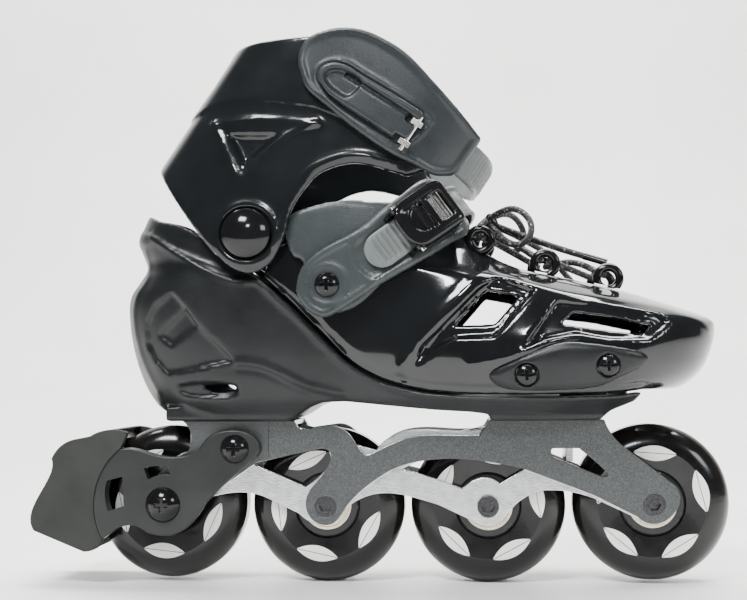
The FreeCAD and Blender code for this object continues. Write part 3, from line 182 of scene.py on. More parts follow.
def frame_metal():
    """Grainy dark coat on the rails; bright machined metal on everything set in from them."""
    material, tree, shader = new_material("frame_metal")
    place = node(tree, "ShaderNodeTexCoord")
    parts = node(tree, "ShaderNodeSeparateXYZ")
    tree.links.new(place.outputs["Object"], parts.inputs[0])
    off = node(tree, "ShaderNodeMath", operation="ABSOLUTE")
    tree.links.new(parts.outputs["Y"], off.inputs[0])
    rail = node(tree, "ShaderNodeMath", operation="GREATER_THAN")
    rail.inputs[1].default_value = RAIL_FACE
    tree.links.new(off.outputs[0], rail.inputs[0])
    speck = ramp(tree, noise(tree, 2600.0, 1.0), 0.0, 1.0, 0.42, 0.66)
    coat = node(tree, "ShaderNodeMix", data_type="RGBA")
    coat.inputs[6].default_value = (0.075, 0.08, 0.08, 1)
    coat.inputs[7].default_value = (0.13, 0.136, 0.136, 1)
    tree.links.new(speck, coat.inputs[0])
    brushed = ramp(tree, noise(tree, 260.0, 4.0), (0.52, 0.53, 0.54), (0.74, 0.75, 0.76))
    both = node(tree, "ShaderNodeMix", data_type="RGBA")
    tree.links.new(rail.outputs[0], both.inputs[0])
    tree.links.new(brushed, both.inputs[6])
    tree.links.new(coat.outputs[2], both.inputs[7])
    tree.links.new(both.outputs[2], shader.inputs["Base Color"])
    rough = node(tree, "ShaderNodeMix", data_type="FLOAT")
    tree.links.new(rail.outputs[0], rough.inputs[0])
    rough.inputs[2].default_value = 0.27
    rough.inputs[3].default_value = 0.44
    tree.links.new(rough.outputs[0], shader.inputs["Roughness"])
    shader.inputs["Metallic"].default_value = 0.9
    rounding = node(tree, "ShaderNodeBevel", samples=8, Radius=0.7 * MM)
    bump(tree, shader, noise(tree, 1900.0, 2.0), 0.16, 0.0004, rounding.outputs[0])
    return material


def tyre_urethane(name, at, turn):
    """Urethane: black and glossy, browner at the rim, with five leaf prints round each face."""
    material, tree, shader = new_material(name)
    link = tree.links.new

    def maths(kind, a, b=None):
        made = node(tree, "ShaderNodeMath", operation=kind)
        for socket, value in zip(made.inputs, (a, b)):
            if value is None:
                continue
            if isinstance(value, (int, float)):
                socket.default_value = value
            else:
                link(value, socket)
        return made.outputs[0]

    place = node(tree, "ShaderNodeTexCoord")
    parts = node(tree, "ShaderNodeSeparateXYZ")
    link(place.outputs["Object"], parts.inputs[0])
    x = maths("SUBTRACT", parts.outputs["X"], at[0])
    z = maths("SUBTRACT", parts.outputs["Z"], at[1])
    radius = maths("SQRT", maths("ADD", maths("MULTIPLY", x, x), maths("MULTIPLY", z, z)))
    angle = maths("ARCTAN2", z, x)
    fifth = 2 * math.pi / 5
    shifted = maths("ADD", angle, 4 * fifth - turn + fifth / 2)
    local = maths("SUBTRACT", maths("MODULO", shifted, fifth), fifth / 2)
    along_leaf = maths("MULTIPLY", maths("MULTIPLY", maths("SINE", local), radius), 1000.0)
    centre_line = maths("MULTIPLY", maths("COSINE", local), radius)
    across_leaf = maths("MULTIPLY", maths("SUBTRACT", centre_line, LEAF_AT), 1000.0)
    share = maths("DIVIDE", along_leaf, LEAF_HALF_LENGTH)
    room = maths("MULTIPLY", maths("SUBTRACT", 1.0, maths("MULTIPLY", share, share)),
                 LEAF_HALF_WIDTH)
    leaf = maths("GREATER_THAN", room, maths("ABSOLUTE", across_leaf))
    vein = maths("LESS_THAN", maths("ABSOLUTE", across_leaf), VEIN)
    print_mask = maths("MULTIPLY", leaf, maths("SUBTRACT", 1.0, vein))
    side = maths("GREATER_THAN", maths("ABSOLUTE", parts.outputs["Y"]), PRINT_FACE)
    mask = maths("MULTIPLY", print_mask, side)

    rim = ramp(tree, maths("MULTIPLY", radius, 25.0), (0.003, 0.003, 0.003),
               (0.009, 0.0075, 0.006), 0.7, 0.875)
    ink = node(tree, "ShaderNodeMix", data_type="RGBA")
    link(mask, ink.inputs[0])
    link(rim, ink.inputs[6])
    ink.inputs[7].default_value = (0.88, 0.87, 0.83, 1)
    link(ink.outputs[2], shader.inputs["Base Color"])
    link(ramp(tree, noise(tree, 160.0, 3.0), 0.14, 0.26), shader.inputs["Roughness"])
    shader.inputs["Specular IOR Level"].default_value = 0.35
    shader.inputs["Coat Weight"].default_value = 0.15
    bump(tree, shader, noise(tree, 500.0, 2.0), 0.05, 0.0003)
    return material


def braid():
    """Black cord with slanted strands and light flecks, from the curve's own length and girth."""
    material, tree, shader = new_material("lace")
    place = node(tree, "ShaderNodeTexCoord")
    scaled = node(tree, "ShaderNodeMapping")
    scaled.inputs["Scale"].default_value = (34.0, 3.0, 1.0)
    tree.links.new(place.outputs["UV"], scaled.inputs["Vector"])
    strands = node(tree, "ShaderNodeTexWave", wave_type="BANDS", bands_direction="DIAGONAL",
                   Scale=1.3, Distortion=1.0)
    tree.links.new(scaled.outputs[0], strands.inputs["Vector"])
    fleck = ramp(tree, noise(tree, 900.0, 1.0), (0.004, 0.004, 0.005), (0.3, 0.3, 0.28), 0.6, 0.68)
    tree.links.new(fleck, shader.inputs["Base Color"])
    shader.inputs["Roughness"].default_value = 0.6
    shader.inputs["Sheen Weight"].default_value = 0.1
    bump(tree, shader, strands.outputs[0], 0.7, 0.0006)
    return material


FRAME_METAL = frame_metal()
LACE = braid()


# ---------------------------------------------------------------- fields and meshes

def smooth_curve(points, closed=True, steps=6):
    """Catmull-Rom curve through given points."""
    p = np.asarray(points, float)
    n = len(p)
    out = []
    for k in range(n if closed else n - 1):
        if closed:
            a, b, c, d = (p[(k + i - 1) % n] for i in range(4))
        else:
            a, b, c, d = (p[min(max(k + i - 1, 0), n - 1)] for i in range(4))
        for s in range(steps):
            t = s / steps
            out.append(0.5 * (2 * b + (c - a) * t + (2 * a - 5 * b + 4 * c - d) * t ** 2
                              + (3 * b - a - 3 * c + d) * t ** 3))
    if not closed:
        out.append(p[-1])
    return np.array(out)


def segment_distance(x, z, points, closed):
    """Distance to a run of straight lines, and whether each place is inside it if closed."""
    best = np.full(x.shape, 1e9)
    inside = np.zeros(x.shape, bool)
    p = np.asarray(points, float)
    n = len(p)
    for k in range(n if closed else n - 1):
        (x0, z0), (x1, z1) = p[k], p[(k + 1) % n]
        ex, ez = x1 - x0, z1 - z0
        length = ex * ex + ez * ez
        if length == 0:
            continue
        t = np.clip(((x - x0) * ex + (z - z0) * ez) / length, 0, 1)
        best = np.minimum(best, (x - x0 - ex * t) ** 2 + (z - z0 - ez * t) ** 2)
        if closed and z0 != z1:
            spans = ((z0 <= z) & (z < z1)) | ((z1 <= z) & (z < z0))
            inside ^= spans & (x < x0 + (z - z0) * ex / ez)
    return np.sqrt(best), inside


def region(x, z, points):
    """Signed distance to a closed outline in the side view, negative inside."""
    distance, inside = segment_distance(x, z, points, True)
    return np.where(inside, -distance, distance)


def line(x, z, points):
    return segment_distance(x, z, points, False)[0]


def ease(low, high, value):
    t = np.clip((value - low) / (high - low), 0, 1)
    return t * t * (3 - 2 * t)


def ridge(distance, width, height):
    """A soft raised line, or a groove where height is negative."""
    return height * np.exp(-(distance / width) ** 2)


def sunk(distance, depth, soft):
    """How far a recess goes down: full depth once soft inside its outline."""
    return -depth * ease(0, soft, -distance + soft * 0.3)


def join(a, b, k=0.6):
    """Rounded intersection of two fields."""
    h = np.clip(0.5 - 0.5 * (b - a) / k, 0, 1)
    return b * (1 - h) + a * h + k * h * (1 - h)


def add(a, b, k=0.6):
    """Rounded union of two fields."""
    return -join(-a, -b, k)


def grid(low, high, step):
    axes = [np.arange(a, b + step, step) for a, b in zip(low, high)]
    return np.meshgrid(*axes, indexing="ij")


def true_distance(field, step):
    """Rescales a field so that it grows by about 1 for each millimetre."""
    gx, gy, gz = np.gradient(field, step)
    return field / np.maximum(np.sqrt(gx * gx + gy * gy + gz * gz), 0.008)


CORNERS = [(c >> 2 & 1, c >> 1 & 1, c & 1) for c in range(8)]
EDGES = [(a, b) for a in range(8) for b in range(a + 1, 8) if bin(a ^ b).count("1") == 1]


def cell_points(field, cells):
    """One point in each cell that the zero level crosses: the mean of where it cuts the edges."""
    values = np.stack([field[cells[:, 0] + i, cells[:, 1] + j, cells[:, 2] + k]
                       for i, j, k in CORNERS], 1)
    offsets = np.array(CORNERS, float)
    total = np.zeros((len(cells), 3))
    hits = np.zeros(len(cells))
    for a, b in EDGES:
        va, vb = values[:, a], values[:, b]
        cross = (va < 0) != (vb < 0)
        t = np.where(cross, va / np.where(cross, va - vb, 1.0), 0.0)
        total += np.where(cross[:, None], offsets[a] + t[:, None] * (offsets[b] - offsets[a]), 0)
        hits += cross
    return cells + total / hits[:, None]


def cell_quads(inside, index):
    """A quad across each grid edge that the zero level cuts, wound to face outwards."""
    quads = []
    for axis in range(3):
        u, v = (axis + 1) % 3, (axis + 2) % 3
        near = [slice(1, -1)] * 3
        near[axis] = slice(0, -1)
        far = list(near)
        far[axis] = slice(1, None)
        starts, ends = inside[tuple(near)], inside[tuple(far)]
        at = np.argwhere(starts != ends)
        out = starts[tuple(at.T)]
        base = at.copy()
        base[:, u] += 1
        base[:, v] += 1
        ring = []
        for du, dv in ((1, 1), (0, 1), (0, 0), (1, 0)):
            cell = base.copy()
            cell[:, u] -= du
            cell[:, v] -= dv
            ring.append(index[tuple(cell.T)])
        quad = np.stack(ring, 1)
        quad[~out] = quad[~out][:, ::-1]
        quads.append(quad)
    quads = np.concatenate(quads)
    return quads[(quads >= 0).all(1)]


def net(name, field, low, step, material, body, smoothing=2):
    """Surface-nets mesh of the field's zero level, as an object that rides on a body."""
    inside = field < 0
    nx, ny, nz = (n - 1 for n in field.shape)
    count = sum(inside[i:i + nx, j:j + ny, k:k + nz].astype(np.int8) for i, j, k in CORNERS)
    cells = np.argwhere((count > 0) & (count < 8))
    index = np.full((nx, ny, nz), -1)
    index[tuple(cells.T)] = np.arange(len(cells))
    quads = cell_quads(inside, index)
    verts = relax(cell_points(field, cells), quads, smoothing)
    return mesh_object(name, (verts * step + np.array(low)) * MM, quads, material, body)


def relax(verts, quads, rounds):
    """Moves each point half way to the mean of its neighbours, a few times over."""
    for _ in range(rounds):
        total = np.zeros_like(verts)
        hits = np.zeros(len(verts))
        for a, b in ((0, 1), (1, 2), (2, 3), (3, 0)):
            for p, q in ((a, b), (b, a)):
                np.add.at(total, quads[:, p], verts[quads[:, q]])
                np.add.at(hits, quads[:, p], 1)
        verts = verts * 0.5 + 0.5 * total / np.maximum(hits, 1)[:, None]
    return verts


def mesh_object(name, verts, faces, material, body, smooth=True):
    mesh = bpy.data.meshes.new(name)
    mesh.from_pydata([tuple(v) for v in verts], [], [tuple(int(i) for i in f) for f in faces])
    mesh.update()
    if smooth:
        mesh.polygons.foreach_set("use_smooth", [True] * len(mesh.polygons))
    mesh.materials.append(material)
    made = bpy.data.objects.new(name, mesh)
    bpy.context.scene.collection.objects.link(made)
    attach(made, body)
    return made


# ---------------------------------------------------------------- boot

CUFF_PIVOT = (-52.9, 156.2)
# Heights with where the boot starts and ends, and its half widths, in millimetres.
HEEL_X = [(73, -94), (79, -101), (87, -106.7), (97, -111), (108, -114), (122, -115.8),
          (131, -115), (138, -110.5), (144, -107.2), (151, -109.6), (157, -111.6), (170, -107)]
TOE_X = [(76, 118), (82, 130), (88, 142.5), (95, 150), (105, 154.6), (114, 156.4), (118.5, 155),
         (122.5, 147), (128, 131), (133, 115), (137.5, 97), (142, 77), (147, 64), (153, 55.5),
         (165, 49), (182, 42)]
HEEL_W = [(76, 25), (84, 31), (100, 35), (115, 37), (135, 38), (150, 37), (175, 36)]
WAIST_W = [(76, 26), (84, 32), (100, 36), (115, 37.5), (135, 39), (150, 38.5), (175, 36)]
BALL_W = [(76, 34), (84, 43), (97, 48), (108, 48.5), (118, 46), (128, 42), (138, 38), (150, 34),
          (175, 30)]
HEEL_CAP, TOE_CAP = 42.0, 62.0
UPPER_INSET = 1.6  # the upper's surface lies this far inside the base shell's
WALL = 3.6
SOLE_TOP = 84.0


def along(table, z):
    """Smooth curve through a table of (height, value) pairs."""
    at, value = np.array(table, float).T
    slope = np.empty_like(value)
    slope[1:-1] = (value[2:] - value[:-2]) / (at[2:] - at[:-2])
    slope[0] = (value[1] - value[0]) / (at[1] - at[0])
    slope[-1] = (value[-1] - value[-2]) / (at[-1] - at[-2])
    z = np.clip(z, at[0], at[-1])
    k = np.clip(np.searchsorted(at, z, "right") - 1, 0, len(at) - 2)
    step = at[k + 1] - at[k]
    t = (z - at[k]) / step
    return ((2 * t ** 3 - 3 * t ** 2 + 1) * value[k] + (t ** 3 - 2 * t ** 2 + t) * step * slope[k]
            + (3 * t ** 2 - 2 * t ** 3) * value[k + 1] + (t ** 3 - t ** 2) * step * slope[k + 1])


def boot_field(x, y, z, raised, step):
    """Distance to the boot's outer surface; raised is how far each point stands proud."""
    x0, x1 = along(HEEL_X, z), along(TOE_X, z)
    half = (x1 - x0) / 2
    cap = 1 - np.maximum(0, 1 - (x - x0) / np.minimum(HEEL_CAP, half)) ** 2
    cap = cap - np.maximum(0, 1 - (x1 - x) / np.minimum(TOE_CAP, half)) ** 2
    heel, waist, ball = (along(t, z) for t in (HEEL_W, WAIST_W, BALL_W))
    width = heel + (waist - heel) * ease(-80, -15, x) + (ball - waist) * ease(-10, 75, x)
    side = np.maximum(0, np.abs(y) - raised)
    return true_distance((side / width) ** 2 - cap, step)


def from_pivot(x, z):
    """Distance from the cuff's pivot in the side view."""
    return np.hypot(x - CUFF_PIVOT[0], z - CUFF_PIVOT[1])


SEAM = [(-48.5, 136.8), (-33.6, 124.0), (-20.6, 110.9), (-9.0, 99.6), (5.3, 91.6), (20.9, 87.2),
        (36.1, 85.4), (59.4, 84.6), (101.8, 85.0), (118.0, 86.4)]
COLLAR = [(-99.5, 158.0), (-87.8, 150.6), (-77.3, 145.0), (-66.8, 139.7), (-59.0, 137.1),
          (-49.0, 136.9)]
SOLE_LINE = [(-104.0, 81.0), (-97.0, 77.5), (-94.0, 73.6), (-38.0, 73.6), (-33.5, 75.6),
             (-27.0, 80.0), (-21.5, 82.0), (-11.5, 82.4), (9.2, 80.3), (28.1, 78.5), (44.0, 77.6),
             (51.6, 76.6), (53.0, 73.6), (101.0, 73.6), (106.1, 78.0), (116.0, 82.0),
             (119.0, 86.6)]
HEEL_PANEL = [(-88.2, 131.6), (-97.4, 125.7), (-101.9, 117.6), (-101.9, 108.4), (-97.4, 100.6),
              (-91.7, 95.0), (-80.3, 96.6), (-60.5, 100.6), (-64.0, 104.6), (-76.8, 117.6),
              (-81.8, 124.6)]
HEEL_POCKET = [(-96.1, 112.5), (-81.8, 124.0), (-76.7, 116.0), (-89.3, 107.6)]
HEEL_SLOT = [(-87.0, 89.2), (-82.5, 90.8), (-71.0, 91.4), (-60.7, 90.2), (-58.5, 87.4),
             (-63.0, 84.5), (-75.6, 84.5), (-84.7, 85.7)]
HEEL_GAP = [(-74.5, 90.2), (-61.6, 89.8), (-60.6, 88.2), (-70.0, 87.0)]
HEEL_CREASE = [(-58.5, 97.4), (-46.7, 95.7), (-28.7, 87.2), (-12.6, 83.5)]
HEEL_RIDGE = [(-58.5, 99.6), (-46.7, 98.0), (-28.7, 89.6), (-12.6, 85.4)]
LIP = [(-46.2, 133.2), (-33.6, 121.4), (-20.6, 108.6), (-9.6, 98.6)]
BACK_EDGE = [(-104.5, 150.0), (-103.0, 139.0), (-107.5, 131.0), (-109.6, 122.0),
             (-108.0, 110.0), (-104.0, 98.0), (-98.0, 87.0)]


def base_shell():
    step = 1.1
    low = (-122.0, -51.0, 71.0)
    x, y, z = grid(low, (124.0, 51.0, 174.0), step)
    fx, fz = x[:, :1, :], z[:, :1, :]
    above = region(fx, fz, np.array(COLLAR + [(-40, 180), (-125, 180), (-112, 162)]))
    raised = -2.6 * ease(-0.6, 1.4, -above)
    raised = raised + ridge(line(fx, fz, smooth_curve(COLLAR, False)) - 1.6, 1.1, 0.7)
    raised = raised + ridge(line(fx, fz, smooth_curve(SEAM, False)) - 1.8, 1.0, 0.8)
    raised = raised + sunk(region(fx, fz, HEEL_PANEL), 2.0, 1.1)
    raised = raised + sunk(region(fx, fz, HEEL_POCKET), 1.6, 1.2)
    raised = raised + sunk(region(fx, fz, smooth_curve(HEEL_SLOT)), 2.4, 1.6)
    raised = raised + ridge(line(fx, fz, smooth_curve(LIP, False)), 1.3, 0.9)
    raised = raised + ridge(line(fx, fz, smooth_curve(HEEL_CREASE, False)), 1.3, -0.8)
    raised = raised + ridge(line(fx, fz, smooth_curve(HEEL_RIDGE, False)), 1.6, 1.0)
    raised = raised + ridge(line(fx, fz, smooth_curve(BACK_EDGE, False)), 1.6, 1.0)
    outer = boot_field(x, y, z, raised, step)
    lining = boot_field(x, y, z, 0.8 * np.minimum(raised, 0), step) + WALL + UPPER_INSET
    shape = join(outer, -join(lining, SOLE_TOP - z), 0.8)
    seam = [(px - 0.2, pz - 0.2) for px, pz in SEAM[1:]]
    edge = smooth_curve([(-96.9, 165.0), (-79.5, 159.8), (-68.0, 148.5), (-58.0, 141.5),
                         (-48.5, 136.8)] + seam, False)
    outline = list(edge) + [(123, 86.4), (123, 70)] + [(-38, 70), (-125, 70), (-125, 172),
                                                       (-106.7, 169.6)]
    shape = join(shape, region(fx, fz, outline), 1.0)
    under = region(fx, fz, SOLE_LINE + [(130, 86.6), (130, 60), (-130, 60), (-130, 81)])
    blocks = np.maximum(np.abs(y) - 23.5, np.maximum(72.9 - z, z - 80))
    blocks = np.maximum(blocks, np.minimum(np.abs(x + 66) - 28.0, np.abs(x - 77) - 25.0))
    shape = join(add(shape, blocks, 1.2), -under, 0.8)
    boss = np.maximum(from_pivot(x, z) - 12.0, np.abs(y) - 41.2)
    shape = add(shape, np.maximum(boss, 34.0 - np.abs(y)), 0.8)
    shape = join(shape, -region(fx, fz, smooth_curve(HEEL_GAP)), 0.6)
    made = net("base_shell_skin", shape, low, step, SHELL, "boot_and_frame")
    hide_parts("base_shell")


VENT_FRONT = [(82.0, 126.0), (104.0, 123.2), (126.5, 119.4), (130.2, 116.4), (121.0, 109.0),
              (104.0, 108.8), (88.8, 111.4), (75.0, 108.8), (66.0, 104.4)]
VENT_FRONT_GAP = [(88.6, 120.6), (104.0, 118.6), (122.5, 114.4), (117.8, 110.6),
                  (104.8, 112.0), (83.0, 115.2)]
VENT_REAR = [(56.0, 136.6), (72.6, 130.2), (68.0, 125.6), (59.6, 115.4), (54.6, 110.4),
             (38.0, 109.8), (30.8, 106.6), (20.4, 98.6), (22.6, 105.4), (35.6, 118.6),
             (48.2, 131.2)]
VENT_REAR_GAP = [(51.4, 130.6), (65.8, 127.8), (55.0, 115.4), (37.6, 115.2)]
SWEEP = [(14.0, 96.6), (22.0, 109.0), (33.0, 122.0), (46.0, 135.0), (54.0, 143.0)]
TOE_LINE = [(62.0, 137.0), (84.0, 130.0), (106.0, 127.4), (128.0, 123.6), (143.0, 118.0),
            (150.0, 113.0)]
SIDE_LINE = [(44.0, 98.0), (60.0, 101.6), (76.0, 108.4), (92.0, 110.4)]


def upper_shell():
    step = 1.05
    low = (-50.0, -50.5, 83.0)
    x, y, z = grid(low, (160.0, 50.5, 164.0), step)
    fx, fz = x[:, :1, :], z[:, :1, :]
    raised = sunk(region(fx, fz, VENT_FRONT), 2.6, 2.6)
    raised = raised + sunk(region(fx, fz, VENT_REAR), 2.8, 2.6)
    raised = raised + ridge(line(fx, fz, smooth_curve(SWEEP, False)), 2.6, 1.1)
    raised = raised + ridge(line(fx, fz, smooth_curve(TOE_LINE, False)), 2.2, 0.9)
    raised = raised + ridge(line(fx, fz, smooth_curve(SIDE_LINE, False)), 2.0, 0.8)
    raised = raised + ridge(line(fx, fz, smooth_curve(SEAM, False)) - 3.0, 0.9, -0.7)
    outer = boot_field(x, y, z, raised, step) + UPPER_INSET
    lining = boot_field(x, y, z, np.minimum(raised, 0), step) + WALL + UPPER_INSET
    shape = join(outer, -join(lining, SOLE_TOP - z), 0.8)
    edge = [(118.0, 87.0), (175, 87.0), (175, 120), (118.5, 140.0), (60, 157)]
    edge += list(smooth_curve([(52.0, 158.4), (40.0, 159.0), (20.0, 157.6), (0.0, 156.0),
                               (-20.0, 155.4), (-34.0, 154.0)], False))
    edge += [(-42.0, 151.0), (-47.4, 137.6)]
    edge += list(smooth_curve([(px + 0.5, pz + 0.5) for px, pz in SEAM[1:]], False))
    shape = join(shape, region(fx, fz, edge), 1.0)
    throat = np.minimum(np.hypot(x - 100, y) - 13.0, np.maximum(np.abs(y) - 13.0, x - 100))
    shape = join(shape, -np.maximum(throat, 112 - z), 1.4)
    for gap in (VENT_FRONT_GAP, VENT_REAR_GAP):
        shape = join(shape, -region(fx, fz, gap) - 0.2, 0.7)
    made = net("upper_shell_skin", shape, low, step, UPPER, "boot_and_frame")
    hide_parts("upper_shell")


# ---------------------------------------------------------------- bands

class Band:
    """Coordinates round the leg or foot: u ahead, v across, w up; sizes in millimetres."""

    def __init__(self, origin, angle, centre_u, half_u, half_v):
        self.origin = np.array(origin)
        self.ahead = np.array([math.cos(angle), 0, math.sin(angle)])
        self.up = np.array([-math.sin(angle), 0, math.cos(angle)])
        self.centre_u, self.half_u, self.half_v = centre_u, half_u, half_v

    def uw(self, x, z):
        dx, dz = x - self.origin[0], z - self.origin[2]
        return (dx * self.ahead[0] + dz * self.ahead[2], dx * self.up[0] + dz * self.up[2])

    def point(self, u, v, w):
        return self.origin + self.ahead * u + self.up * w + np.array([0, v, 0])

    def field(self, x, y, z, step):
        """Distance outside the oval."""
        u, _ = self.uw(x, z)
        a = np.abs(u - self.centre_u) / self.half_u
        b = np.abs(y) / self.half_v
        return true_distance((a ** 3 + b ** 3) ** (1 / 3) - 1, step)

    def side_v(self, u, offset):
        t = abs(u - self.centre_u) / (self.half_u + offset)
        return (self.half_v + offset) * (1 - t ** 3) ** (1 / 3)


LEG = Band((CUFF_PIVOT[0], 0, CUFF_PIVOT[1]), math.radians(-34), 6.0, 63.0, 45.2)
FOOT = Band((-17.6, 0, 133.4), math.radians(36), 6.5, 61.0, 41.5)
CUFF_LOW = [(-96.5, 187.0), (-94.5, 184.0), (-77.3, 160.0), (-67.4, 148.5), (-60.0, 141.4),
            (-51.9, 138.6), (-44.0, 141.7), (-38.6, 148.5), (-35.6, 156.7), (-32.6, 167.0),
            (-24.5, 178.6), (-17.7, 183.5), (-8.0, 186.1), (0.5, 185.5), (9.7, 182.9),
            (17.6, 180.5)]
CUFF_TOP = [(28.0, 184.0), (9.0, 236.0), (-2.0, 242.0), (-20.0, 243.6), (-63.0, 243.2),
            (-65.5, 236.0), (-72.3, 225.2), (-87.0, 208.4), (-96.0, 198.5), (-99.6, 193.0)]
CUFF_POCKET = [(-62.0, 201.0), (-38.4, 199.7), (-54.6, 185.7)]
CUFF_STEP = [(-100.0, 199.0), (-84.0, 211.0), (-62.2, 215.9), (-44.0, 214.8), (-22.9, 211.5),
             (-10.0, 206.0), (2.0, 199.0)]
CUFF_BROW = [(-69.0, 206.3), (-50.0, 206.6), (-34.0, 205.4), (-21.0, 204.1)]
CUFF_TRIANGLE = [(-69.0, 206.3), (-62.5, 194.0), (-55.5, 180.5), (-44.0, 192.6), (-32.0, 200.6),
                 (-21.0, 204.1)]
CUFF_ARCH = [(-40.8, 150.0), (-38.4, 160.0), (-34.6, 171.0), (-26.4, 182.4), (-18.0, 187.2),
             (-8.0, 189.8), (2.0, 189.0), (12.0, 186.0)]


def cuff():
    step = 1.0
    low = (-104.0, -50.5, 136.0)
    x, y, z = grid(low, (34.0, 50.5, 246.0), step)
    fx, fz = x[:, :1, :], z[:, :1, :]
    raised = sunk(region(fx, fz, CUFF_POCKET), 3.0, 3.4)
    raised = raised + ridge(line(fx, fz, smooth_curve(CUFF_BROW, False)), 1.6, 0.7)
    raised = raised + ridge(line(fx, fz, smooth_curve(CUFF_TRIANGLE, False)), 1.5, 0.9)
    raised = raised + ridge(line(fx, fz, smooth_curve(CUFF_ARCH, False)), 1.3, 0.9)
    step_line = region(fx, fz, CUFF_STEP + [(2.0, 260.0), (-110.0, 260.0)])
    raised = raised + 0.9 * ease(-0.6, 0.6, -step_line) * ease(-104, -92, fx)
    hub = from_pivot(fx, fz)
    raised = raised + ridge(hub - 13.0, 1.5, 0.8) - 1.2 * ease(0, 1.2, 12.0 - hub)
    oval = LEG.field(x, y, z, step)
    outer = oval - raised
    inner = oval + 3.2 - 0.9 * np.minimum(raised, 0)
    outline = list(smooth_curve(CUFF_LOW, False)) + CUFF_TOP
    shape = join(join(outer, -inner, 0.9), region(fx, fz, outline), 1.0)
    shape = join(shape, 5.6 - from_pivot(x, z), 0.4)
    made = net("cuff_skin", shape, low, step, CUFF, "cuff_unit")
    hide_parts("cuff")


STRAP_OUTLINE = [(-27.6, 223.0), (-29.5, 233.0), (-25.0, 241.5), (-13.6, 245.2), (-2.0, 244.4),
                 (8.6, 239.8), (18.7, 232.8), (29.3, 221.3), (40.1, 209.1), (48.6, 199.0),
                 (50.0, 197.0), (45.0, 189.6), (39.0, 182.0), (33.0, 180.4), (28.0, 181.0),
                 (20.0, 185.2), (9.7, 190.3), (-4.0, 199.9), (-17.7, 211.4), (-25.0, 218.0)]
LEVER_OUTLINE = [(-20.6, 223.4), (-18.6, 227.4), (-13.0, 229.2), (-6.6, 227.2), (-1.5, 223.6),
                 (25.2, 206.6), (26.6, 203.2), (22.0, 197.6), (15.6, 194.2), (12.0, 195.4),
                 (-10.9, 210.8), (-18.5, 219.3)]
FINGER = [(-17.4, 221.6), (-16.4, 225.4), (-12.4, 226.6), (-7.0, 225.2), (-1.6, 221.2),
          (-3.0, 216.6), (-8.0, 213.6), (-14.4, 217.6)]
HINGE_U, HINGE_W = 37.0, 75.0


def cuff_strap():
    step = 0.85
    low = (-34.0, -56.5, 176.0)
    x, y, z = grid(low, (56.0, 2.0, 249.0), step)
    fx, fz = x[:, :1, :], z[:, :1, :]
    edge = region(fx, fz, smooth_curve(STRAP_OUTLINE))
    bed = region(fx, fz, smooth_curve(LEVER_OUTLINE))
    raised = ridge(edge + 1.6, 1.1, 0.5) - 0.3 * ease(2.6, 3.8, -edge)
    raised = raised + ridge(bed - 1.4, 0.9, 0.6) - 0.4 * ease(-0.6, 0.4, -bed)
    oval = LEG.field(x, y, z, step)
    shape = join(join(oval - 5.2 - raised, 2.6 - oval, 0.7), edge, 1.2)
    u, _ = LEG.uw(x, z)
    seat = np.maximum(np.maximum(0.3 - oval, oval - 3.2), np.maximum(edge + 1.0, u - 13.0))
    shape = np.minimum(shape, np.maximum(seat, y - 0.6))
    shape = np.maximum(shape, y - 0.6)
    made = net("cuff_strap_skin", shape, low, step, STRAP, "cuff_unit", 1)
    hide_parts("cuff_strap")


def cuff_lever():
    step = 0.7
    low = (-23.0, -57.0, 191.5)
    x, y, z = grid(low, (29.0, -38.0, 231.0), step)
    fx, fz = x[:, :1, :], z[:, :1, :]
    edge = region(fx, fz, smooth_curve(LEVER_OUTLINE))
    u, w = LEG.uw(x, z)
    fu, fw = u[:, :1, :], w[:, :1, :]
    raised = sunk(region(fx, fz, smooth_curve(FINGER)), 2.4, 1.2)
    for side in (-1, 1):
        groove = np.maximum(np.abs(fw - 75.0 - side * 6.2) - 0.9, np.abs(fu - 16.0) - 17.0)
        raised = raised + sunk(groove, 2.2, 0.8)
    oval = LEG.field(x, y, z, step)
    shape = join(join(oval - 8.7 - raised, 5.5 - oval, 0.7), edge, 1.5)
    for side in (-1, 1):
        slot = np.maximum(np.abs(w - HINGE_W - side * 5.0) - 1.7, HINGE_U - 5.5 - u)
        shape = join(shape, -slot, 0.4)
    shape = join(shape, u - HINGE_U - 0.6, 0.6)
    made = net("cuff_lever_skin", shape, low, step, STRAP, "cuff_lever", 1)
    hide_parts("cuff_lever")


def cuff_ladder():
    step = 0.9
    low = (-8.0, -55.0, 166.0)
    x, y, z = grid(low, (66.0, 52.0, 226.0), step)
    u, w = LEG.uw(x, z)
    oval = LEG.field(x, y, z, step)
    pitch = 3.0
    beat = np.mod(y + 38.0, pitch) - pitch / 2
    rib = 0.9 * ease(-1.1, -0.5, -np.abs(beat)) * (y > -30) * (y < 26) * (u > 30)
    band = np.maximum(72.0 - w, w - 88.6)
    middle = ease(0.4, 1.8, 7.2 - np.abs(w - 80.3))
    ends = np.minimum(np.maximum(-u + 0.0, -y - 10.0), np.maximum(-y - 80.0, 46.0 - u))
    shape = join(join(oval - 2.3 - (rib - 0.5) * middle, 0.1 - oval, 0.4),
                 np.maximum(band, ends), 0.7)
    made = net("cuff_ladder_skin", shape, low, step, LADDER, "cuff_unit", 1)
    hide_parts("cuff_ladder")


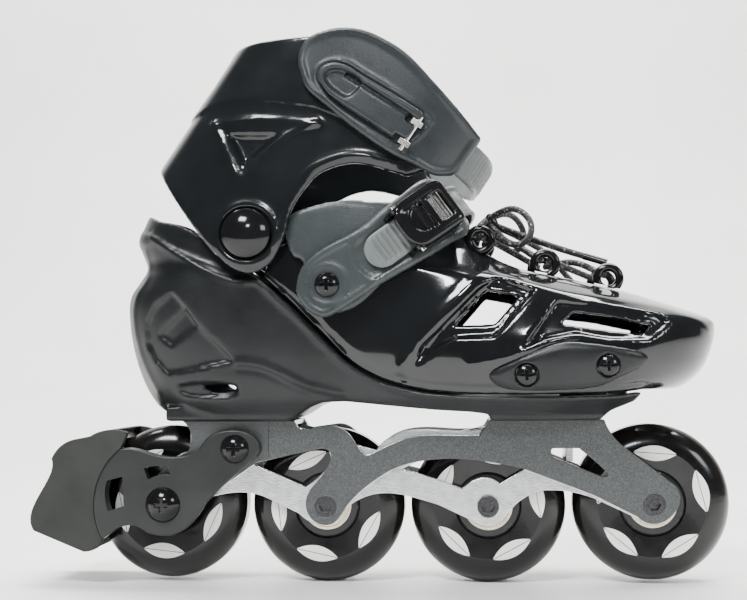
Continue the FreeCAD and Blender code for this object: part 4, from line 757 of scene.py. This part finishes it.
FLAP = [(-33.0, 146.0), (-36.2, 153.0), (-36.4, 160.0), (-33.4, 165.4), (-23.2, 168.9),
        (-10.7, 171.2), (2.3, 170.6), (12.0, 170.0), (24.0, 166.0), (28.0, 152.0), (18.0, 142.0),
        (8.0, 135.0), (-4.0, 124.4), (-16.0, 120.7), (-28.0, 124.2), (-31.4, 133.0),
        (-28.6, 140.0), (-29.6, 144.6)]
BED_LOW = [(-6.5, -12.0), (15.0, -13.6), (37.0, -16.0), (51.0, -17.0), (66.0, -15.0)]
BED_TOP = [(66.0, 11.8), (46.0, 13.0), (26.0, 11.6), (7.7, 14.2), (-4.0, 13.2), (-12.2, 6.8),
           (-14.0, 0.0), (-12.4, -7.0)]
BUCKLE_W = -2.2


def ankle_flaps():
    step = 1.1
    low = (-40.0, -44.0, 117.0)
    x, y, z = grid(low, (31.0, 44.0, 174.0), step)
    fx, fz = x[:, :1, :], z[:, :1, :]
    edge = region(fx, fz, smooth_curve(FLAP))
    raised = -0.5 * ease(-2.4, 0.0, edge)
    oval = FOOT.field(x, y, z, step)
    shape = join(join(oval + 0.2 - raised, -2.6 - oval, 0.8), edge, 1.2)
    shape = np.maximum(shape, 6.0 - np.abs(y))
    made = net("ankle_flap_skins", shape, low, step, BED, "boot_and_frame")
    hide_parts("ankle_flaps")


def instep_bed():
    step = 1.1
    low = (-38.0, -46.5, 114.0)
    x, y, z = grid(low, (52.0, 46.5, 183.0), step)
    u, w = FOOT.uw(x[:, :1, :], z[:, :1, :])
    edge = region(u, w, smooth_curve(BED_LOW + BED_TOP))
    trough = region(u, w, smooth_curve([(18.0, BUCKLE_W - 8.6), (30.0, BUCKLE_W - 9.4),
                                        (62.0, BUCKLE_W - 9.4), (62.0, BUCKLE_W + 9.4),
                                        (30.0, BUCKLE_W + 9.4), (18.0, BUCKLE_W + 8.6),
                                        (14.6, BUCKLE_W)]))
    rim = ridge(edge + 1.9, 1.3, 0.5) + ridge(trough, 1.2, 0.8)
    raised = rim - 0.5 * ease(2.8, 4.2, -edge) - 0.35 * ease(-0.4, 0.8, -trough)
    raised = raised + ridge(np.hypot(u, w) - 8.6, 0.8, 0.7)
    oval = FOOT.field(x, y, z, step)
    shape = join(join(oval - 3.0 - raised, 0.1 - oval, 0.8), edge, 1.2)
    for name, keep in (("instep_strap", y), ("instep_strap_inner", -y)):
        made = net(name + "_skin", np.maximum(shape, keep - 0.3), low, step, BED, "instep_loop")
        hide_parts(name)


def instep_ladder():
    step = 0.6
    low = (-6.0, -48.5, 138.0)
    x, y, z = grid(low, (56.0, 48.5, 188.0), step)
    u, w = FOOT.uw(x, z)
    oval = FOOT.field(x, y, z, step)
    pitch = 2.6
    beat = np.mod(u - 24.9, pitch) - pitch / 2
    rib = 1.1 * ease(-0.95, -0.45, -np.abs(beat)) * (u > 24.0) * (u < 66) * (y < 0)
    half = 8.0
    band = np.abs(w - BUCKLE_W) - half
    nose = np.where(u < 28.5, np.hypot(u - 28.5, w - BUCKLE_W) - half, band)
    ends = np.where(y < 0, nose, np.maximum(band, 14.0 - u))
    middle = ease(0.4, 1.6, half - 1.2 - np.abs(w - BUCKLE_W)) * ease(0.0, 1.4, u - 24.4)
    shape = join(join(oval - 5.1 - (rib - 0.8) * middle * (y < 0), 3.15 - oval, 0.4), ends, 0.7)
    made = net("instep_ladder_skin", shape, low, step, LADDER, "instep_loop", 1)
    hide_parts("instep_ladder")


SLIDER = [(53.2, 95.3), (62.0, 99.4), (73.0, 104.2), (82.4, 107.3), (90.0, 107.6),
          (102.0, 106.2), (113.0, 104.4), (118.6, 102.4), (119.9, 99.6), (117.0, 96.6),
          (107.0, 92.0), (97.6, 88.2), (82.0, 86.9), (65.3, 86.9), (57.0, 88.4), (52.4, 92.0)]
SLIDER_SCREWS = ((68.1, 93.7), (102.5, 97.5))


def sliders():
    step = 0.9
    low = (49.0, -52.0, 84.0)
    x, y, z = grid(low, (123.0, 52.0, 110.5), step)
    fx, fz = x[:, :1, :], z[:, :1, :]
    edge = region(fx, fz, smooth_curve(SLIDER))
    raised = -0.7 * ease(-3.0, -0.4, edge)
    shell = boot_field(x, y, z, 0 * fx, step)
    shape = join(join(shell - 1.2 - raised, -1.8 - shell, 0.7), edge, 1.2)
    for sx, sz in SLIDER_SCREWS:
        shape = join(shape, 4.7 - np.hypot(x - sx, z - sz), 0.3)
    shape = np.maximum(shape, 20 - np.abs(y))
    made = net("slider_skins", shape, low, step, SHELL, "boot_and_frame", 1)
    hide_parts("sliders")


# ---------------------------------------------------------------- instep buckle

def buckle_axes():
    """Centre and axes of the instep buckle: along the strap, across it, and straight out."""
    u0, raised = 49.0, 3.0
    at = [FOOT.point(u, -FOOT.side_v(u, raised), BUCKLE_W) for u in (u0 - 1, u0 + 1, u0)]
    run = (at[1] - at[0]) / np.linalg.norm(at[1] - at[0])
    out = np.cross(run, FOOT.up)
    out = -out if out[1] > 0 else out
    return at[2], run, np.cross(out, run), out


def rounded_box(p, half, radius):
    q = [np.abs(c) - h + radius for c, h in zip(p, half)]
    outside = np.sqrt(sum(np.maximum(c, 0) ** 2 for c in q))
    return outside + np.minimum(np.maximum(np.maximum(q[0], q[1]), q[2]), 0) - radius


def buckle_housing(x, y, z):
    """Field of the housing, with a D-shaped window, a slit, and a window over the pawl."""
    body = rounded_box((x - 0.5, y, z - 5.6), (15.0, 12.0, 5.8), 4.0)
    back_end = np.maximum(-x - 3.5, 0) ** 2 + (0.92 * y) ** 2
    body = join(body, np.sqrt(back_end) - 11.2, 1.0)
    front_end = np.maximum(x - 9.5, 0) ** 2 + np.maximum(np.abs(y) - 5.5, 0) ** 2
    body = join(body, np.sqrt(front_end) - 6.5, 1.0)
    dish = -1.0 * ease(0, 3.0, 8.6 - np.abs(y)) * ease(0, 4.0, 12.0 - np.abs(x - 0.5))
    body = join(body, z - 11.3 - dish - 0.3, 0.8)
    body = join(body, 3.1 - z, 0.6)
    body = join(body, -np.maximum(np.abs(y) - 10.65, z - 8.8), 0.5)
    pawl_window = rounded_box((x - 8.0, y, z - 10), (3.6, 6.2, 8), 1.4)
    body = join(body, -pawl_window, 0.6)
    d_window = np.maximum(np.hypot(x + 1.6, y) - 6.4, x + 2.6)
    body = join(body, -np.maximum(d_window, 9.2 - z), 0.4)
    slit = rounded_box((x - 0.6, y, z - 11), (0.75, 6.8, 2.2), 0.4)
    body = join(body, -slit, 0.3)
    back = np.maximum(np.maximum(x + 9.0, z - 6.4), 3.6 - np.hypot(x + 9.0, z - 6.4))
    return join(body, -back, 0.3)


def buckle_lever():
    centre, run, across, out = buckle_axes()
    step = 0.5
    low = (-17.0, -14.0, 1.5)
    body = buckle_housing(*grid(low, (18.0, 14.0, 13.5), step))
    made = net("buckle_lever_skin", body, low, step, GLOSS, "buckle_lever", 1)
    axes = np.stack([run, across, out])
    flat = np.empty(len(made.data.vertices) * 3)
    made.data.vertices.foreach_get("co", flat)
    placed = flat.reshape(-1, 3) @ axes + centre * MM
    made.data.vertices.foreach_set("co", placed.ravel())
    made.data.update()
    if np.linalg.det(axes) < 0:
        made.data.flip_normals()
    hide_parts("buckle_lever")


# ---------------------------------------------------------------- laces

LACE_D = 3.0
LOOP_OUTER = [(55.4, -2.5, 167.3), (61.5, -6.4, 170.6), (68.4, -9.8, 168.6),
              (72.8, -12.2, 162.4), (71.6, -13.6, 155.4), (66.0, -13.9, 151.9),
              (60.4, -11.6, 154.6), (57.0, -7.6, 158.9), (53.9, -3.6, 162.4)]
LOOP_INNER = [(55.4, 2.5, 167.3), (60.6, 8.0, 170.3), (66.6, 13.2, 167.8),
              (70.2, 17.6, 161.6), (69.4, 20.6, 154.8), (64.2, 20.4, 151.9),
              (59.6, 15.8, 154.9), (57.0, 9.7, 158.8), (54.2, 3.9, 162.0)]
TAIL_OUTER = [(56.9, -1.6, 162.6), (64.2, -3.2, 159.4), (72.0, -4.6, 156.4),
              (80.4, -5.8, 153.0), (88.4, -6.8, 150.1), (96.0, -8.0, 147.6)]
TAIL_INNER = [(56.9, 1.6, 162.6), (63.6, 5.4, 160.0), (71.0, 11.0, 156.6),
              (79.0, 16.6, 152.6), (86.0, 23.4, 146.4), (91.4, 30.0, 140.4)]


def lace(name, route, nodes):
    """A round lace along the same route as its CAD tube."""
    curve = bpy.data.curves.new(name, "CURVE")
    curve.dimensions = "3D"
    curve.resolution_u = 8
    spline = curve.splines.new("NURBS")
    spline.points.add(len(route) - 1)
    for point, at in zip(spline.points, route):
        point.co = (at[0] * MM, at[1] * MM, at[2] * MM, 1.0)
    spline.order_u = 3
    spline.use_endpoint_u = True
    curve.bevel_depth = LACE_D / 2 * MM
    curve.bevel_resolution = 5
    curve.use_fill_caps = True
    curve.materials.append(LACE)
    made = bpy.data.objects.new(name, curve)
    bpy.context.scene.collection.objects.link(made)
    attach(made, "boot_and_frame")
    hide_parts(*nodes)
    return made


def laces():
    lace("lace_loop_outer_cord", LOOP_OUTER, ["lace_loop_outer"])
    lace("lace_loop_inner_cord", LOOP_INNER, ["lace_loop_inner"])
    lace("lace_tail_outer_cord", TAIL_OUTER, ["lace_tail_outer"])
    lace("lace_tail_inner_cord", TAIL_INNER, ["lace_tail_inner"])


# ---------------------------------------------------------------- light and floor

def area(name, at, aim, size, power, colour=(1, 1, 1)):
    data = bpy.data.lights.new(name, "AREA")
    data.shape = "RECTANGLE"
    data.size, data.size_y = size
    data.energy = power
    data.color = colour
    made = bpy.data.objects.new(name, data)
    made.location = at
    made.rotation_euler = (Vector(aim) - Vector(at)).to_track_quat("-Z", "Y").to_euler()
    bpy.context.scene.collection.objects.link(made)


def studio():
    """Soft daylight from above and in front, a pale wall behind and a pale floor."""
    area("key", (-0.5, -1.1, 1.5), (0.02, 0, 0.1), (0.6, 0.4), 46.0, (0.97, 0.99, 1.0))
    area("front", (0.02, -1.2, 0.75), (0.03, 0, 0.12), (0.14, 0.1), 6.0, (0.95, 0.98, 1.0))
    area("fill", (1.2, -0.9, 0.7), (0.03, 0, 0.12), (0.4, 0.4), 7.0, (0.95, 0.98, 1.0))
    area("top", (0.1, 0.25, 1.5), (0.02, 0, 0.1), (1.6, 0.5), 46.0)
    area("wall wash", (0.0, 0.35, 1.9), (0.0, 1.2, 0.35), (2.4, 0.4), 60.0)
    material, tree, shader = new_material("floor")
    tree.links.new(ramp(tree, noise(tree, 6.0, 3.0), (0.8, 0.79, 0.775), (0.86, 0.85, 0.835)),
                   shader.inputs["Base Color"])
    shader.inputs["Roughness"].default_value = 0.5
    bump(tree, shader, noise(tree, 220.0), 0.05, 0.0004)
    sweep, depth, rise = [], 1.2, 2.2
    for k in range(13):
        a = math.pi / 2 * k / 12
        sweep.append((depth - 0.5 + 0.5 * math.sin(a), 0.5 - 0.5 * math.cos(a)))
    profile = [(-0.5, 0.0)] + sweep + [(depth, rise)]
    verts, faces = [], []
    for y, z in profile:
        verts += [(-3.0, y, z - 0.0002), (3.0, y, z - 0.0002)]
    for k in range(len(profile) - 1):
        faces.append((2 * k, 2 * k + 1, 2 * k + 3, 2 * k + 2))
    mesh = bpy.data.meshes.new("floor")
    mesh.from_pydata(verts, [], faces)
    mesh.polygons.foreach_set("use_smooth", [True] * len(faces))
    mesh.materials.append(material)
    floor = bpy.data.objects.new("floor", mesh)
    bpy.context.scene.collection.objects.link(floor)
    world = bpy.data.worlds.new("world")
    world.use_nodes = True
    world.node_tree.nodes["Background"].inputs[0].default_value = (0.93, 0.96, 1.0, 1)
    world.node_tree.nodes["Background"].inputs[1].default_value = 0.12
    bpy.context.scene.world = world


# ---------------------------------------------------------------- the whole

AXLES = ((0.1243, 0.0362, -58.0), (0.0513, 0.035, -62.0), (-0.0217, 0.035, -102.0),
         (-0.0947, 0.0362, -96.0))


def finishes():
    """Materials for the CAD pieces that are shown as they are."""
    for k, (x, z, turn) in enumerate(AXLES, 1):
        paint(tyre_urethane(f"urethane_{k}", (x, z), math.radians(turn)), f"tyre_{k}")
        paint(CORE, f"wheel_core_{k}")
        paint(BEARING, f"bearing_outer_rings_{k}", f"bearing_balls_{k}")
    paint(BEARING, "bearing_inner_rings")
    paint(FRAME_METAL, "frame", "bearing_spacers")
    paint(STEEL, "cuff_hinge", "buckle_pins", "buckle_spring", "buckle_pawl",
          "brake_pad_screw", "cuff_ladder_screws", "instep_ladder_screws")
    paint(BOLT, "axle_bolts", "frame_bolts", "frame_nut_plates", "cuff_pivot_bolts",
          "cuff_strap_rivets")
    paint(GLOSS, "brake_bolts", "cuff_pivot_caps", "eyelet_rings", "buckle_base",
          "lace_aglets", "instep_anchor_screws", "slider_screws")
    paint(BRASS, "cuff_bushes")
    paint(LACE, "lace_crossings", "lace_knot")
    paint(ARM, "brake_arm")
    paint(PAD, "brake_pad")


add_camera()
laces()
finishes()
base_shell()
upper_shell()
cuff()
cuff_strap()
cuff_lever()
cuff_ladder()
ankle_flaps()
instep_bed()
instep_ladder()
sliders()
buckle_lever()
studio()
